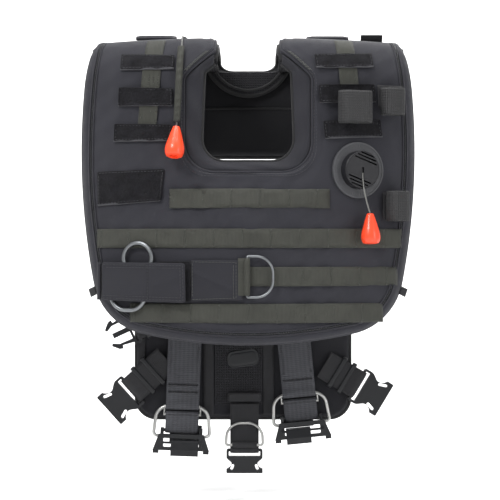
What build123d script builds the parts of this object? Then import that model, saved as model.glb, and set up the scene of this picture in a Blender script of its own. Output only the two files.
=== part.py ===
from build123d import *

import math
import os
from functools import cache

# Buoyancy compensator vest, worn shape, in millimetres.
# +Z is up, +X is to the right when the vest is seen from the front, and the front faces -Y.
# The origin is the middle of the top of the shoulders.

# ---- Driving dimensions ----------------------------------------------------------------

# The torso form that every fabric layer follows: depth 0 is the inside of the vest.
FRONT_RADIUS = 354.0
FRONT_CENTRE_Y = 250.0
BACK_RADIUS = 900.0
BACK_CENTRE_Y = -820.0
FORM_HALF_WIDTH = 232.0
FORM_FLOOR = -700.0
TOP_DEPTH = 24.0
FRONT_SHOULDER_RADIUS = 38.0
BACK_SHOULDER_RADIUS = 10.0

# Layers of the vest, as depths outward from the inside of the form.
LINING = (0.0, 2.0)
CELL = (2.4, 19.9)
COVER = (20.3, 23.0)
WEBBING = (23.3, 24.8)
PATCH = (25.1, 27.0)
SLEEVE = (23.3, 31.3)
COLLAR = (-4.0, -0.3)

# The front and the back meet on the shoulders at the fold line.
FOLD_Y = -5.0
FOLD_GAP = 0.4
REACH = 240.0

# Front panel.
GUSSET_WIDTH = 9.0
ZIP_WIDTH = 3.4
NECK_HALF_WIDTH = 82.0
NECK_BOTTOM = -180.0
NECK_SHOULDER = -58.0
NECK_CORNER = 38.0
FACING_WIDTH = 20.0
FACING_BOTTOM = 12.0
FACING_HEIGHT = 122.0

# Webbing and fittings.
PALS_HEIGHT = 25.4
THIGH_WEBBING = 46.0
WEBBING_THICK = 2.0
SIDE_WEBBING = 40.0
CORD_RADIUS = 1.0
STEEL_WIRE = 2.3
BAR_CLEARANCE = 0.6

# Lower pad.
PAD_LEFT = -155.0
PAD_RIGHT = 141.0
PAD_TOP = -330.0
PAD_BOTTOM = -517.0
PAD_FRONT_Y = 30.0
PAD_THICK = 15.0

NODES = []


def save(part, label):
    """Label a finished piece and write it as its own STEP file."""
    part.label = label
    export_step(part, f"parts/{label}.step")
    NODES.append(label)


# ---- The torso form and its planes -----------------------------------------------------


def front_y(x, depth):
    """Y of the front skin at this x and depth, below the shoulder curve."""
    return FRONT_CENTRE_Y - math.sqrt((FRONT_RADIUS + depth) ** 2 - x**2)


def back_y(x, depth):
    """Y of the back skin at this x and depth, below the shoulder curve."""
    return BACK_CENTRE_Y + math.sqrt((BACK_RADIUS + depth) ** 2 - x**2)


def front_plane(x, z, depth):
    """Plane on the front skin: local x runs round the body, local y is up, normal outward."""
    y = front_y(x, depth)
    normal = Vector(x, y - FRONT_CENTRE_Y, 0).normalized()
    return Plane(origin=(x, y, z), x_dir=(-normal.Y, normal.X, 0), z_dir=normal)


def back_plane(x, z, depth):
    """Plane on the back skin, normal outward and local y up."""
    y = back_y(x, depth)
    normal = Vector(x, y - BACK_CENTRE_Y, 0).normalized()
    return Plane(origin=(x, y, z), x_dir=(-normal.Y, normal.X, 0), z_dir=normal)


@cache
def torso_form(depth):
    """The solid inside the skin at this depth, rounded over the shoulders."""
    with BuildPart() as form:
        with BuildSketch(Plane.XY.offset(FORM_FLOOR)):
            with BuildLine():
                side_front = front_y(FORM_HALF_WIDTH, depth)
                side_back = back_y(FORM_HALF_WIDTH, depth)
                front = ThreePointArc(
                    (-FORM_HALF_WIDTH, side_front), (0, front_y(0, depth)), (FORM_HALF_WIDTH, side_front)
                )
                back = ThreePointArc(
                    (-FORM_HALF_WIDTH, side_back), (0, back_y(0, depth)), (FORM_HALF_WIDTH, side_back)
                )
                Line(front @ 0, back @ 0)
                Line(front @ 1, back @ 1)
            make_face()
        extrude(amount=depth - TOP_DEPTH - FORM_FLOOR)
        fillet(
            form.edges().group_by(Axis.Z)[-1].sort_by(Axis.Y)[0],
            FRONT_SHOULDER_RADIUS + depth,
        )
        fillet(
            form.edges().group_by(Axis.Z)[-1].sort_by(Axis.Y)[-1],
            BACK_SHOULDER_RADIUS + depth,
        )
    return form.part


def keep_layer(layer):
    """Trim the part being built to one layer of the vest."""
    add(torso_form(layer[1]), mode=Mode.INTERSECT)
    add(torso_form(layer[0]), mode=Mode.SUBTRACT)


FRONT_PLANE = Plane.XZ.offset(-FOLD_Y + FOLD_GAP)
BACK_PLANE = Plane.XZ.offset(-FOLD_Y)


# ---- Outlines, seen from the front -----------------------------------------------------


@cache
def panel_outline(inset):
    """The front panel's outline, drawn in by the inset."""
    with BuildSketch() as outline:
        with BuildLine():
            ThreePointArc((-137, -394.5), (0, -408), (137, -394.5))
            ThreePointArc((137, -394.5), (182, -372), (207, -325))
            ThreePointArc((-137, -394.5), (-182, -372), (-207, -325))
            right_side = ThreePointArc((207, -325), (224, -160), (209, 10))
            left_side = ThreePointArc((-207, -325), (-224, -160), (-209, 10))
            Line(right_side @ 1, left_side @ 1)
        make_face()
        if inset > 0:
            offset(amount=-inset)
            with Locations((0, 10)):
                Rectangle(418 - 2 * inset, 40)
    return outline.sketch


@cache
def neck_outline(grow):
    """The neck hole: square with round corners below, drawn in towards the collar above."""
    with BuildSketch() as outline:
        with BuildLine():
            Polyline(
                (-NECK_HALF_WIDTH, NECK_BOTTOM),
                (NECK_HALF_WIDTH, NECK_BOTTOM),
                (NECK_HALF_WIDTH, NECK_SHOULDER),
                (41, -20),
                (41, 60),
                (-41, 60),
                (-41, -20),
                (-NECK_HALF_WIDTH, NECK_SHOULDER),
                (-NECK_HALF_WIDTH, NECK_BOTTOM),
            )
        make_face()
        fillet(outline.vertices().group_by(Axis.Y)[0], NECK_CORNER)
        if grow != 0:
            offset(amount=grow, kind=Kind.ARC)
    return outline.sketch


@cache
def inner_neck_outline():
    """The smaller hole in the lining, where the sloping facing ends."""
    with BuildSketch() as outline:
        add(neck_outline(0))
        with Locations((0, NECK_SHOULDER - 200)):
            Rectangle(600, 400, mode=Mode.SUBTRACT)
        with Locations((0, NECK_BOTTOM + FACING_BOTTOM + FACING_HEIGHT / 2)):
            RectangleRounded(2 * (NECK_HALF_WIDTH - FACING_WIDTH), FACING_HEIGHT, 30)
    return outline.sketch


def box_outline(x_low, x_high, z_low, z_high):
    with BuildSketch() as outline:
        with Locations(((x_low + x_high) / 2, (z_low + z_high) / 2)):
            Rectangle(x_high - x_low, z_high - z_low)
    return outline.sketch


def polygon_outline(*corners):
    with BuildSketch() as outline:
        Polygon(*corners, align=None)
    return outline.sketch


# ---- Front panel: lining, air cell, gusset, cover and zip ------------------------------

VALVE_X = 144.0
VALVE_Z = -179.0
VALVE_NECK = 19.0
REAR_VALVE_X = -108.0
REAR_VALVE_Z = -92.0
FRONT_VALVE = front_plane(VALVE_X, VALVE_Z, COVER[1] + 0.3)
REAR_VALVE = back_plane(REAR_VALVE_X, REAR_VALVE_Z, COVER[1] + 0.3)


def valve_hole(plane):
    """Cut the hole for a dump valve's neck, from just above the lining outwards."""
    with Locations(plane.offset(-9)):
        Cylinder(VALVE_NECK + 1, 24, mode=Mode.SUBTRACT)


with BuildPart() as front_lining:
    with BuildSketch(FRONT_PLANE):
        add(panel_outline(1))
        add(inner_neck_outline(), mode=Mode.SUBTRACT)
    extrude(amount=REACH)
    keep_layer(LINING)
save(front_lining.part, "front_lining")

with BuildPart() as air_cell:
    with BuildSketch(FRONT_PLANE):
        add(panel_outline(GUSSET_WIDTH + 1))
        add(neck_outline(5), mode=Mode.SUBTRACT)
    extrude(amount=REACH)
    keep_layer(CELL)
    valve_hole(FRONT_VALVE)
save(air_cell.part, "air_cell")

with BuildPart() as side_gusset:
    with BuildSketch(FRONT_PLANE):
        add(panel_outline(0))
        add(panel_outline(GUSSET_WIDTH), mode=Mode.SUBTRACT)
    extrude(amount=REACH)
    keep_layer((CELL[0], COVER[1]))
save(side_gusset.part, "side_gusset")

with BuildPart() as zip_chain:
    with BuildSketch(FRONT_PLANE):
        add(panel_outline(GUSSET_WIDTH + 0.3))
        add(panel_outline(GUSSET_WIDTH + 0.3 + ZIP_WIDTH), mode=Mode.SUBTRACT)
    extrude(amount=REACH)
    keep_layer((COVER[0], COVER[1] + 0.8))
save(zip_chain.part, "zip_chain")

with BuildPart() as front_cover:
    with BuildSketch(FRONT_PLANE):
        add(panel_outline(GUSSET_WIDTH + 0.6 + ZIP_WIDTH))
        add(neck_outline(0), mode=Mode.SUBTRACT)
    extrude(amount=REACH)
    keep_layer(COVER)
    valve_hole(FRONT_VALVE)
save(front_cover.part, "front_cover")

with BuildPart() as facing_ledge:
    with BuildSketch(FRONT_PLANE):
        add(neck_outline(4.6))
        add(inner_neck_outline(), mode=Mode.SUBTRACT)
        with Locations((0, -120)):
            Rectangle(400, 124, mode=Mode.INTERSECT)
    extrude(amount=REACH)
    keep_layer((CELL[0], CELL[0] + 5))

with BuildPart() as neck_facing:
    with BuildSketch(FRONT_PLANE):
        add(neck_outline(4.6))
        add(neck_outline(0.4), mode=Mode.SUBTRACT)
    extrude(amount=REACH)
    keep_layer((CELL[0], COVER[0] - 0.3))
    add(facing_ledge.part)
save(neck_facing.part, "neck_facing")


# ---- Webbing, loop strips and patches sewn on the cover ---------------------------------

# PALS rows, as (x_low, x_high, z_top).
PALS_ROWS = ((-103, 107, -204), (-201, 205, -256), (-197, 199, -306), (-156, 179, -354))
ROW_LIMIT = GUSSET_WIDTH + 1.2 + ZIP_WIDTH

with BuildPart() as pals_rows:
    with BuildSketch(FRONT_PLANE):
        for x_low, x_high, z_top in PALS_ROWS:
            add(box_outline(x_low, x_high, z_top - PALS_HEIGHT, z_top))
        add(panel_outline(ROW_LIMIT), mode=Mode.INTERSECT)
    extrude(amount=REACH)
    keep_layer(WEBBING)
save(pals_rows.part, "pals_rows")

with BuildPart() as loop_backing:
    with BuildSketch(FRONT_PLANE):
        add(polygon_outline((114, -69), (209, -66), (209.5, -94), (116, -106)))
        add(polygon_outline((88, -60), (171, -60), (172, -92), (90, -96)), mode=Mode.SUBTRACT)
        add(panel_outline(ROW_LIMIT), mode=Mode.INTERSECT)
    extrude(amount=REACH)
    keep_layer((WEBBING[1] + 0.3, PATCH[1]))

with BuildPart() as edge_tabs:
    for x, z in ((-205.5, -342), (204.5, -338)):
        with BuildSketch(FRONT_PLANE):
            with Locations(Location((x, z), math.copysign(20, x))):
                Rectangle(9, 13)
        extrude(amount=REACH)
    keep_layer((WEBBING[0] + 0.8, WEBBING[0] + 3.3))

with BuildPart() as cover_webbing:
    with BuildSketch(FRONT_PLANE):
        add(polygon_outline((-134, -6), (-109, -6), (-121, -128), (-146, -128)))
        add(polygon_outline((114, -6), (139, -6), (151, -128), (126, -128)))
    extrude(amount=REACH)
    keep_layer(WEBBING)
    add(loop_backing.part)
    add(edge_tabs.part)
save(cover_webbing.part, "cover_webbing")

# Loop strips as four corners each, from top left, clockwise.
LEFT_STRIPS = (
    ((-168, -26), (-96, -30), (-97, -48), (-169, -46)),
    ((-171, -69), (-98, -73), (-99, -95), (-172, -93)),
    ((-177, -117), (-99.5, -120), (-100.5, -141), (-178, -140)),
)
RIGHT_STRIPS = (
    ((87, -29), (164, -25), (166, -43), (89, -46)),
    ((92, -68), (167, -65), (169, -88), (94, -91)),
    ((98, -115), (175, -111), (178, -134), (101, -138)),
)

with BuildPart() as loop_strips:
    with BuildSketch(FRONT_PLANE):
        for corners in LEFT_STRIPS + RIGHT_STRIPS:
            add(polygon_outline(*corners))
    extrude(amount=REACH)
    keep_layer(PATCH)
save(loop_strips.part, "loop_strips")

with BuildPart() as id_patch:
    with BuildSketch(FRONT_PLANE):
        add(polygon_outline((-201, -180), (-109, -178), (-115, -219), (-200, -225)))
    extrude(amount=REACH)
    keep_layer((WEBBING[0], WEBBING[0] + 2))
save(id_patch.part, "id_patch")


# ---- Elastic hose loops ----------------------------------------------------------------

# Loops as (x, z, width, height, depth of the loop, depth of the surface behind it).
HOSE_LOOPS = (
    (140, -97, 46, 42, 24, PATCH[1] + 0.4),
    (191, -88, 34, 36, 20, PATCH[1] + 0.4),
    (198, -226, 32, 40, 22, WEBBING[1] + 0.4),
)
LOOP_WALL = 2.0

with BuildPart() as hose_loops:
    for x, z, width, height, depth, base in HOSE_LOOPS:
        sagitta = width**2 / 3200
        centre = front_plane(x, z, base + depth / 2 + sagitta)
        floor = Plane(origin=centre.origin, x_dir=centre.x_dir, z_dir=(0, 0, 1))
        with BuildSketch(floor.offset(-height / 2)):
            RectangleRounded(width, depth, depth / 2 - 0.5)
            RectangleRounded(
                width - 2 * LOOP_WALL,
                depth - 2 * LOOP_WALL,
                depth / 2 - LOOP_WALL - 0.5,
                mode=Mode.SUBTRACT,
            )
        extrude(amount=height)
save(hose_loops.part, "hose_loops")


# ---- Dump valves -----------------------------------------------------------------------

FLANGE_THICK = 2.4
NECK_DEPTH = 14.5
CAP_HEIGHT = 14.5
CAP_WALL = 2.2
POPPET_RADIUS = 13.0
SLOT_ROWS = ((13.0, 34.0), (17.2, 28.0), (21.2, 20.0))
CORD_GROOVE = 3.2


def dump_valve(plane, flange_radius, cap_radius, side):
    """A pull dump valve: flanged neck, slotted cap, poppet and its return spring."""
    with BuildPart() as body:
        with BuildSketch(plane):
            Circle(flange_radius)
        extrude(amount=FLANGE_THICK)
        with BuildSketch(plane.offset(FLANGE_THICK)):
            Circle(flange_radius - 0.4)
            Circle(flange_radius - 2.2, mode=Mode.SUBTRACT)
        extrude(amount=0.8)
        with BuildSketch(plane):
            Circle(VALVE_NECK)
        extrude(amount=-NECK_DEPTH)
        with BuildSketch(plane.offset(2 - NECK_DEPTH)):
            Circle(VALVE_NECK - 3)
        extrude(amount=NECK_DEPTH + FLANGE_THICK, mode=Mode.SUBTRACT)
        with BuildSketch(plane.offset(-NECK_DEPTH)):
            Circle(POPPET_RADIUS - 4)
        extrude(amount=3, mode=Mode.SUBTRACT)
        with BuildSketch(plane.offset(FLANGE_THICK - 0.5)):
            with PolarLocations((flange_radius + cap_radius) / 2, 60):
                Rectangle((flange_radius - cap_radius) / 2, 0.7)
        extrude(amount=2, mode=Mode.SUBTRACT)
    save(body.part, f"{side}_valve_body")

    with BuildPart() as cap:
        with BuildSketch(plane.offset(FLANGE_THICK)):
            Circle(cap_radius)
        extrude(amount=CAP_HEIGHT)
        outward = Axis(plane.origin, plane.z_dir)
        fillet(cap.edges().filter_by(GeomType.CIRCLE).sort_by(outward)[-1], 3)
        with BuildSketch(plane.offset(FLANGE_THICK)):
            Circle(cap_radius - CAP_WALL)
        extrude(amount=CAP_HEIGHT - CAP_WALL - 1.5, mode=Mode.SUBTRACT)
        with BuildSketch(plane.offset(FLANGE_THICK + CAP_HEIGHT - 6)):
            for distance, length in SLOT_ROWS:
                for side_sign in (-1, 1):
                    centre = Vector(0, side_sign * distance).rotate(Axis.Z, -20)
                    with Locations(Location((centre.X, centre.Y), -20)):
                        SlotOverall(length * cap_radius / 25, 2.0)
        extrude(amount=8, mode=Mode.SUBTRACT)
        with BuildSketch(plane.offset(FLANGE_THICK + CAP_HEIGHT - 2.6)):
            with Locations((0, -cap_radius / 2)):
                SlotOverall(cap_radius + CORD_GROOVE + 4, CORD_GROOVE, rotation=90)
        extrude(amount=4, mode=Mode.SUBTRACT)
    save(cap.part, f"{side}_valve_cap")

    with BuildPart() as poppet:
        with BuildSketch(plane.offset(2.2 - NECK_DEPTH)):
            Circle(POPPET_RADIUS)
        extrude(amount=2.5)
        with BuildSketch(plane.offset(4.7 - NECK_DEPTH)):
            Circle(1.8)
        extrude(amount=17)
    save(poppet.part, f"{side}_valve_poppet")


dump_valve(FRONT_VALVE, 37.0, 25.0, "front")
dump_valve(REAR_VALVE, 30.0, 22.0, "rear")

with BuildPart() as front_valve_spring:
    with BuildLine() as coil:
        Helix(pitch=5.5, height=20, radius=7.5)
    with BuildSketch(Plane(origin=coil.line @ 0, z_dir=coil.line % 0)):
        Circle(0.6)
    sweep(path=coil.line, is_frenet=True)
save(FRONT_VALVE.offset(5.6 - NECK_DEPTH).location * front_valve_spring.part, "front_valve_spring")


# ---- Pull cords, sleeves and toggles ---------------------------------------------------

LEFT_PULL_X = -93.0
LEFT_PULL_Z = -117.0
LEFT_PULL_DIRECTION = Vector(-6, 0, -127).normalized()
LEFT_PULL_POINT = Vector(LEFT_PULL_X, front_y(LEFT_PULL_X, 27.9), LEFT_PULL_Z)
LEFT_TOGGLE_TOP = Vector(-93.3, -121.6, -123)
LEFT_TOGGLE_END = Vector(-96, -133.5, -163)
RIGHT_TOGGLE_TOP = Vector(160, -109.5, -236)
RIGHT_TOGGLE_END = Vector(161, -110.5, -276)

with BuildPart() as cord_sleeve:
    with BuildSketch(FRONT_PLANE):
        add(polygon_outline((-91.5, 14), (-82.5, 14), (-88.5, LEFT_PULL_Z), (-97.5, LEFT_PULL_Z)))
    extrude(amount=REACH)
    keep_layer(SLEEVE)
    with Locations(Plane(origin=LEFT_PULL_POINT, z_dir=LEFT_PULL_DIRECTION).offset(-10)):
        Cylinder(CORD_RADIUS + BAR_CLEARANCE, 34, mode=Mode.SUBTRACT)
save(cord_sleeve.part, "cord_sleeve")

with BuildPart() as toggle_cord_left:
    with BuildSketch(Plane(origin=LEFT_PULL_POINT, z_dir=LEFT_PULL_DIRECTION).offset(-24)):
        Circle(CORD_RADIUS)
    extrude(amount=29.8)
save(toggle_cord_left.part, "toggle_cord_left")


def pull_toggle(top, end, label):
    """A hollow pear-shaped pull, hanging with its open mouth down."""
    length = (end - top).length
    down = (end - top).normalized()
    across = down.cross(Vector(0, 1, 0)).normalized()
    profile = Plane(origin=top, x_dir=across, z_dir=across.cross(down))
    with BuildPart() as toggle:
        with BuildSketch(profile):
            with BuildLine():
                pear = Spline(
                    (4.4, 0.6),
                    (6.6, 0.17 * length),
                    (10.2, 0.47 * length),
                    (12.7, 0.78 * length),
                    (10.6, 0.97 * length),
                )
                Polyline(pear @ 1, (7.6, length), (5.8, length), (5.0, length - 8), (0, length - 8))
                Line((0, length - 8), (0, 0))
                Polyline((0, 0), (3, 0), pear @ 0)
            make_face()
        revolve(axis=Axis(top, down))
    save(toggle.part, label)


pull_toggle(LEFT_TOGGLE_TOP, LEFT_TOGGLE_END, "toggle_left")
pull_toggle(RIGHT_TOGGLE_TOP, RIGHT_TOGGLE_END, "toggle_right")

# The right cord: down the groove in the valve cap, then hanging to the toggle.
CORD_LIFT = FLANGE_THICK + CAP_HEIGHT - 2.6 + 0.3 + CORD_RADIUS
RIGHT_CORD_ROUTE = (
    FRONT_VALVE.from_local_coords(Vector(0, -4, CORD_LIFT)),
    FRONT_VALVE.from_local_coords(Vector(0, -27, CORD_LIFT)),
    RIGHT_TOGGLE_TOP + Vector(0, 0, 0.3),
)


def corner_radius(before, corner, after):
    """The largest arc that the two runs beside a corner leave room for."""
    turn = (corner - before).get_angle(after - corner)
    shorter = min((corner - before).length, (after - corner).length)
    return 0.45 * shorter / math.tan(math.radians(turn / 2))


right_cord_radius = corner_radius(*RIGHT_CORD_ROUTE)
print("toggle_cord_right radius", round(right_cord_radius, 1))
with BuildPart() as toggle_cord_right:
    with BuildLine() as route:
        FilletPolyline(*RIGHT_CORD_ROUTE, radius=right_cord_radius)
    with BuildSketch(Plane(origin=route.wire() @ 0, z_dir=route.wire() % 0)):
        Circle(CORD_RADIUS)
    sweep(path=route.wire())
print("toggle_cord_right length", round(route.wire().length, 1))
save(toggle_cord_right.part, "toggle_cord_right")


# ---- Closure across the front: rings, flaps and pull ring --------------------------------


def wire_ring(plane, corners, radii, wire):
    """A closed ring of round wire through rounded corners in a plane."""
    with BuildPart() as ring:
        with BuildLine(plane) as path:
            FilletPolyline(*corners, radius=radii, close=True)
        with BuildSketch(Plane(origin=path.wire() @ 0, z_dir=path.wire() % 0)):
            Circle(wire)
        sweep(path=path.wire())
    return ring.part


RING_DEPTH = 29.8
KEEPER_RING_WIRE = 2.75
UPPER_RING = front_plane(-145, -295, RING_DEPTH).rotated((-1.5, 0, 0))
LOWER_RING = front_plane(-158, -335, RING_DEPTH)
UPPER_RING_RADIUS = 20.2
FLAP_LAYER = (35.4, 37.4)

with BuildPart() as keeper_ring_upper:
    with Locations(UPPER_RING):
        Torus(UPPER_RING_RADIUS, KEEPER_RING_WIRE)
save(keeper_ring_upper.part, "keeper_ring_upper")

lower_ring = wire_ring(
    LOWER_RING, ((-26, 0), (26, 0), (26, -28), (-26, -28)), (6, 6, 22, 22), KEEPER_RING_WIRE
)
save(lower_ring, "keeper_ring_lower")

with BuildPart() as ring_keepers:
    for plane, bar_height in ((UPPER_RING, -UPPER_RING_RADIUS), (LOWER_RING, 0)):
        bar = plane.from_local_coords(Vector(0, bar_height, 0))
        with BuildSketch(Plane(origin=bar, x_dir=plane.z_dir, z_dir=plane.x_dir)):
            Circle(4.6)
            Circle(3.6, mode=Mode.SUBTRACT)
        extrude(amount=4, both=True)

with BuildPart() as flap_mount:
    with BuildSketch(FRONT_PLANE):
        add(box_outline(-200, -194, -330, -301))
    extrude(amount=REACH)
    keep_layer((WEBBING[1] + 0.3, FLAP_LAYER[1]))

with BuildPart() as cover_flap:
    with BuildSketch(FRONT_PLANE):
        add(polygon_outline((-193.2, -300), (-82, -301), (-81, -353), (-193.2, -350)))
    extrude(amount=REACH)
    keep_layer(FLAP_LAYER)
save(cover_flap.part, "cover_flap")

with BuildPart() as closure_base:
    with BuildSketch(FRONT_PLANE):
        add(box_outline(-116, -75, -352, -299))
    extrude(amount=REACH)
    keep_layer((WEBBING[1] + 0.4, WEBBING[1] + 3.4))
    add(flap_mount.part)
    add(ring_keepers.part)
save(closure_base.part, "closure_base")

PULL_RING_WIRE = 1.75
PULL_BAR_X = -1.0
PULL_PLANE = front_plane(PULL_BAR_X, -319, 29.2)
PULL_SLEEVE = (2.35, 3.85)

with BuildPart() as pull_flap:
    with BuildSketch(FRONT_PLANE):
        add(polygon_outline((-74.2, -297), (-4, -297.5), (-4, -349), (-74.2, -351)))
    extrude(amount=REACH)
    keep_layer((WEBBING[1] + 0.6, WEBBING[1] + 3.0))
    with BuildSketch(Plane(origin=PULL_PLANE.origin, x_dir=(1, 0, 0), z_dir=(0, 0, 1))):
        Circle(PULL_SLEEVE[1])
    extrude(amount=24.5, both=True)
    with BuildSketch(Plane(origin=PULL_PLANE.origin, x_dir=(1, 0, 0), z_dir=(0, 0, 1))):
        Circle(PULL_SLEEVE[0])
    extrude(amount=40, both=True, mode=Mode.SUBTRACT)
save(pull_flap.part, "pull_flap")

pull_ring = wire_ring(
    PULL_PLANE,
    ((0, 26.7), (33.5, 26.7), (33.5, -26.7), (0, -26.7)),
    (1.9, 22, 22, 1.9),
    PULL_RING_WIRE,
)
save(pull_ring, "pull_ring")


# ---- Back: yoke, collar, sleeve and shoulder flaps -----------------------------------------


def back_neck(grow=0):
    """The neckline cut into the back, as wide as the collar opening."""
    with BuildSketch() as outline:
        with Locations((0, 14.5)):
            Rectangle(2 * (41 + grow), 91 + 2 * grow)
        fillet(outline.vertices().group_by(Axis.Y)[0], 20 + grow)
    return outline.sketch


@cache
def yoke_outline(inset):
    with BuildSketch() as outline:
        Polygon(
            (-209, 14), (-209, -26), (-156, -60), (-122, -152),
            (122, -152), (156, -60), (209, -26), (209, 14), align=None,
        )
        fillet(outline.vertices().group_by(Axis.Y)[0], 16)
        if inset > 0:
            offset(amount=-inset)
            with Locations((0, 4)):
                Rectangle(418 - 2 * inset, 30)
        add(back_neck(inset), mode=Mode.SUBTRACT)
    return outline.sketch


def trim_shoulders(inset=0):
    """Narrow the part being built from the full shoulder width to the width of the back."""
    with BuildSketch(Plane.XY.offset(-200)) as plan:
        Polygon(
            (-209 + inset, -6), (209 - inset, -6), (209 - inset, 4), (158 - inset, 52),
            (158 - inset, 140), (-158 + inset, 140), (-158 + inset, 52), (-209 + inset, 4), align=None,
        )
    extrude(plan.sketch, amount=260, mode=Mode.INTERSECT)


for label, layer, inset in (
    ("yoke_lining", LINING, 1),
    ("yoke_padding", CELL, 2.5),
    ("yoke_cover", COVER, 0),
):
    with BuildPart() as yoke:
        with BuildSketch(BACK_PLANE):
            add(yoke_outline(inset))
        extrude(amount=-REACH)
        keep_layer(layer)
        trim_shoulders(inset)
        if label != "yoke_lining":
            valve_hole(REAR_VALVE)
    save(yoke.part, label)

with BuildPart() as collar:
    with BuildSketch(BACK_PLANE):
        with BuildLine():
            hem = ThreePointArc((-62, -24), (0, -68), (62, -24))
            Line(hem @ 0, hem @ 1)
        make_face()
        add(back_neck(0), mode=Mode.SUBTRACT)
    extrude(amount=-REACH)
    keep_layer(COLLAR)

with BuildPart() as collar_piping:
    with BuildSketch(BACK_PLANE):
        with BuildLine():
            hem = ThreePointArc((-56, -35), (0, -68), (56, -35))
            inner = ThreePointArc((-52, -35), (0, -64), (52, -35))
            Line(hem @ 0, inner @ 0)
            Line(hem @ 1, inner @ 1)
        make_face()
    extrude(amount=-REACH)
    keep_layer((COLLAR[0] - 3, COLLAR[0] - 0.3))

with BuildPart() as collar_band:
    add(collar.part)
    add(collar_piping.part)
save(collar_band.part, "collar")

with BuildPart() as cord_sleeve_back:
    with BuildSketch(Plane.XZ):
        add(polygon_outline((-91.5, 14), (-82.5, 14), (-103.5, -60), (-112.5, -60)))
    extrude(amount=-REACH)
    keep_layer(SLEEVE)
save(cord_sleeve_back.part, "cord_sleeve_back")

# Shoulder flaps, as (x_low, x_high) and how high their free edge arches.
SHOULDER_FLAPS = {"left": (-153, -98, 8.0), "right": (80, 137, 7.0)}
FLAP_HINGE_Y = 25.0
FLAP_HINGE_Z = 1.6

for side, (x_low, x_high, arch) in SHOULDER_FLAPS.items():
    with BuildPart() as shoulder_flap:
        with BuildSketch(Plane.YZ.offset(x_low)):
            with BuildLine():
                ThreePointArc((-3.0, 2.2), (10, arch), (FLAP_HINGE_Y, FLAP_HINGE_Z))
            trace(line_width=2.0)
        extrude(amount=x_high - x_low)
    save(shoulder_flap.part, f"shoulder_flap_{side}")

with BuildPart() as shoulder_tab:
    with BuildSketch(Plane.YZ.offset(154)):
        with BuildLine():
            Bezier((26, 0.4), (8, 0.4), (2, 4), (-2, 10))
        trace(line_width=1.8)
    extrude(amount=30)


# ---- Back: straps and lower pad --------------------------------------------------------

STRAP_X = 95.0
PAD_BACK_Y = PAD_FRONT_Y + PAD_THICK
STRAP_UPPER = (back_y(STRAP_X - THIGH_WEBBING / 2, COVER[1]) + 1.6, -156)
STRAP_LOWER = (PAD_BACK_Y + 1.3, -348)
SLIDER_AT = 0.45

with BuildPart() as back_straps:
    for x in (-STRAP_X, STRAP_X):
        with BuildSketch(Plane.YZ.offset(x)):
            with BuildLine():
                Polyline((STRAP_UPPER[0], -128), STRAP_UPPER, STRAP_LOWER, (STRAP_LOWER[0], -450))
            trace(line_width=WEBBING_THICK)
        extrude(amount=THIGH_WEBBING / 2, both=True)

slope = Vector(0, STRAP_LOWER[0] - STRAP_UPPER[0], STRAP_LOWER[1] - STRAP_UPPER[1])
with BuildPart() as strap_sliders:
    for x in (-STRAP_X, STRAP_X):
        middle = Vector(x, STRAP_UPPER[0], STRAP_UPPER[1]) + slope * SLIDER_AT
        with BuildSketch(Plane(origin=middle, x_dir=(1, 0, 0), z_dir=slope.normalized())):
            RectangleRounded(THIGH_WEBBING + 10, 9, 3)
            Rectangle(THIGH_WEBBING + 1, WEBBING_THICK + 0.8, mode=Mode.SUBTRACT)
        extrude(amount=11, both=True)
save(strap_sliders.part, "strap_sliders")

with BuildPart() as lower_pad:
    with BuildSketch(Plane.XZ.offset(-PAD_BACK_Y)):
        with Locations(((PAD_LEFT + PAD_RIGHT) / 2, (PAD_TOP + PAD_BOTTOM) / 2)):
            RectangleRounded(PAD_RIGHT - PAD_LEFT, PAD_TOP - PAD_BOTTOM, 28)
    extrude(amount=PAD_THICK)
    fillet(lower_pad.edges().group_by(Axis.Y)[0], 3)
    fillet(lower_pad.edges().group_by(Axis.Y)[-1], 3)
save(lower_pad.part, "lower_pad")

# Pieces sewn flat on the pad's front, as (x_low, x_high, z_low, z_high).
SEWN_GAP = 0.3
PAD_FACE = Plane.XZ.offset(-PAD_FRONT_Y + SEWN_GAP)

with BuildPart() as pad_mesh:
    with BuildSketch(PAD_FACE):
        add(box_outline(-46.5, 19.5, -498, -400))
    extrude(amount=1.2)

with BuildPart() as pad_badge:
    with BuildSketch(PAD_FACE.offset(1.2 + SEWN_GAP)):
        with Locations(Location((-7, -434), 8)):
            RectangleRounded(44, 24, 9)
    extrude(amount=1.6)
    fillet(pad_badge.edges().group_by(Axis.Y)[0], 0.7)

PAD_BINDINGS = ((-154, -142, -488, -362), (-62, -47.5, -512, -400), (20.5, 36, -512, -400))
with BuildPart() as pad_bindings:
    with BuildSketch(PAD_FACE):
        for edges in PAD_BINDINGS:
            add(box_outline(*edges))
    extrude(amount=1.6)

with BuildPart() as pad_facing:
    add(pad_mesh.part)
    add(pad_badge.part)
    add(pad_bindings.part)
save(pad_facing.part, "pad_facing")


# ---- Thigh straps: webbing, D-ring, cam buckle and lever ---------------------------------

THIGH_PIVOT_Y = 21.0
THIGH_PIVOT_Z = -397.0
CROSSBAR_RADIUS = 2.0
CROSSBAR_DROP = 11.0
LINK_AT = 24.9
LINK_RADIUS = 1.1
LOOP_HALF_WIDTH = 22.8
BUCKLE_BAR_DROP = 33.0
LEVER_PIN_DROP = 49.5
LEVER_PIN_Y = -11.0

# Each side as (x at the pad, tilt in degrees towards +X, strap length, lever offset, lever width).
THIGH_STRAPS = {"left": (-87.0, -2.0, 103.0, 5.0, 38.0), "right": (62.0, 5.5, 86.0, -6.0, 34.0)}


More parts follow.
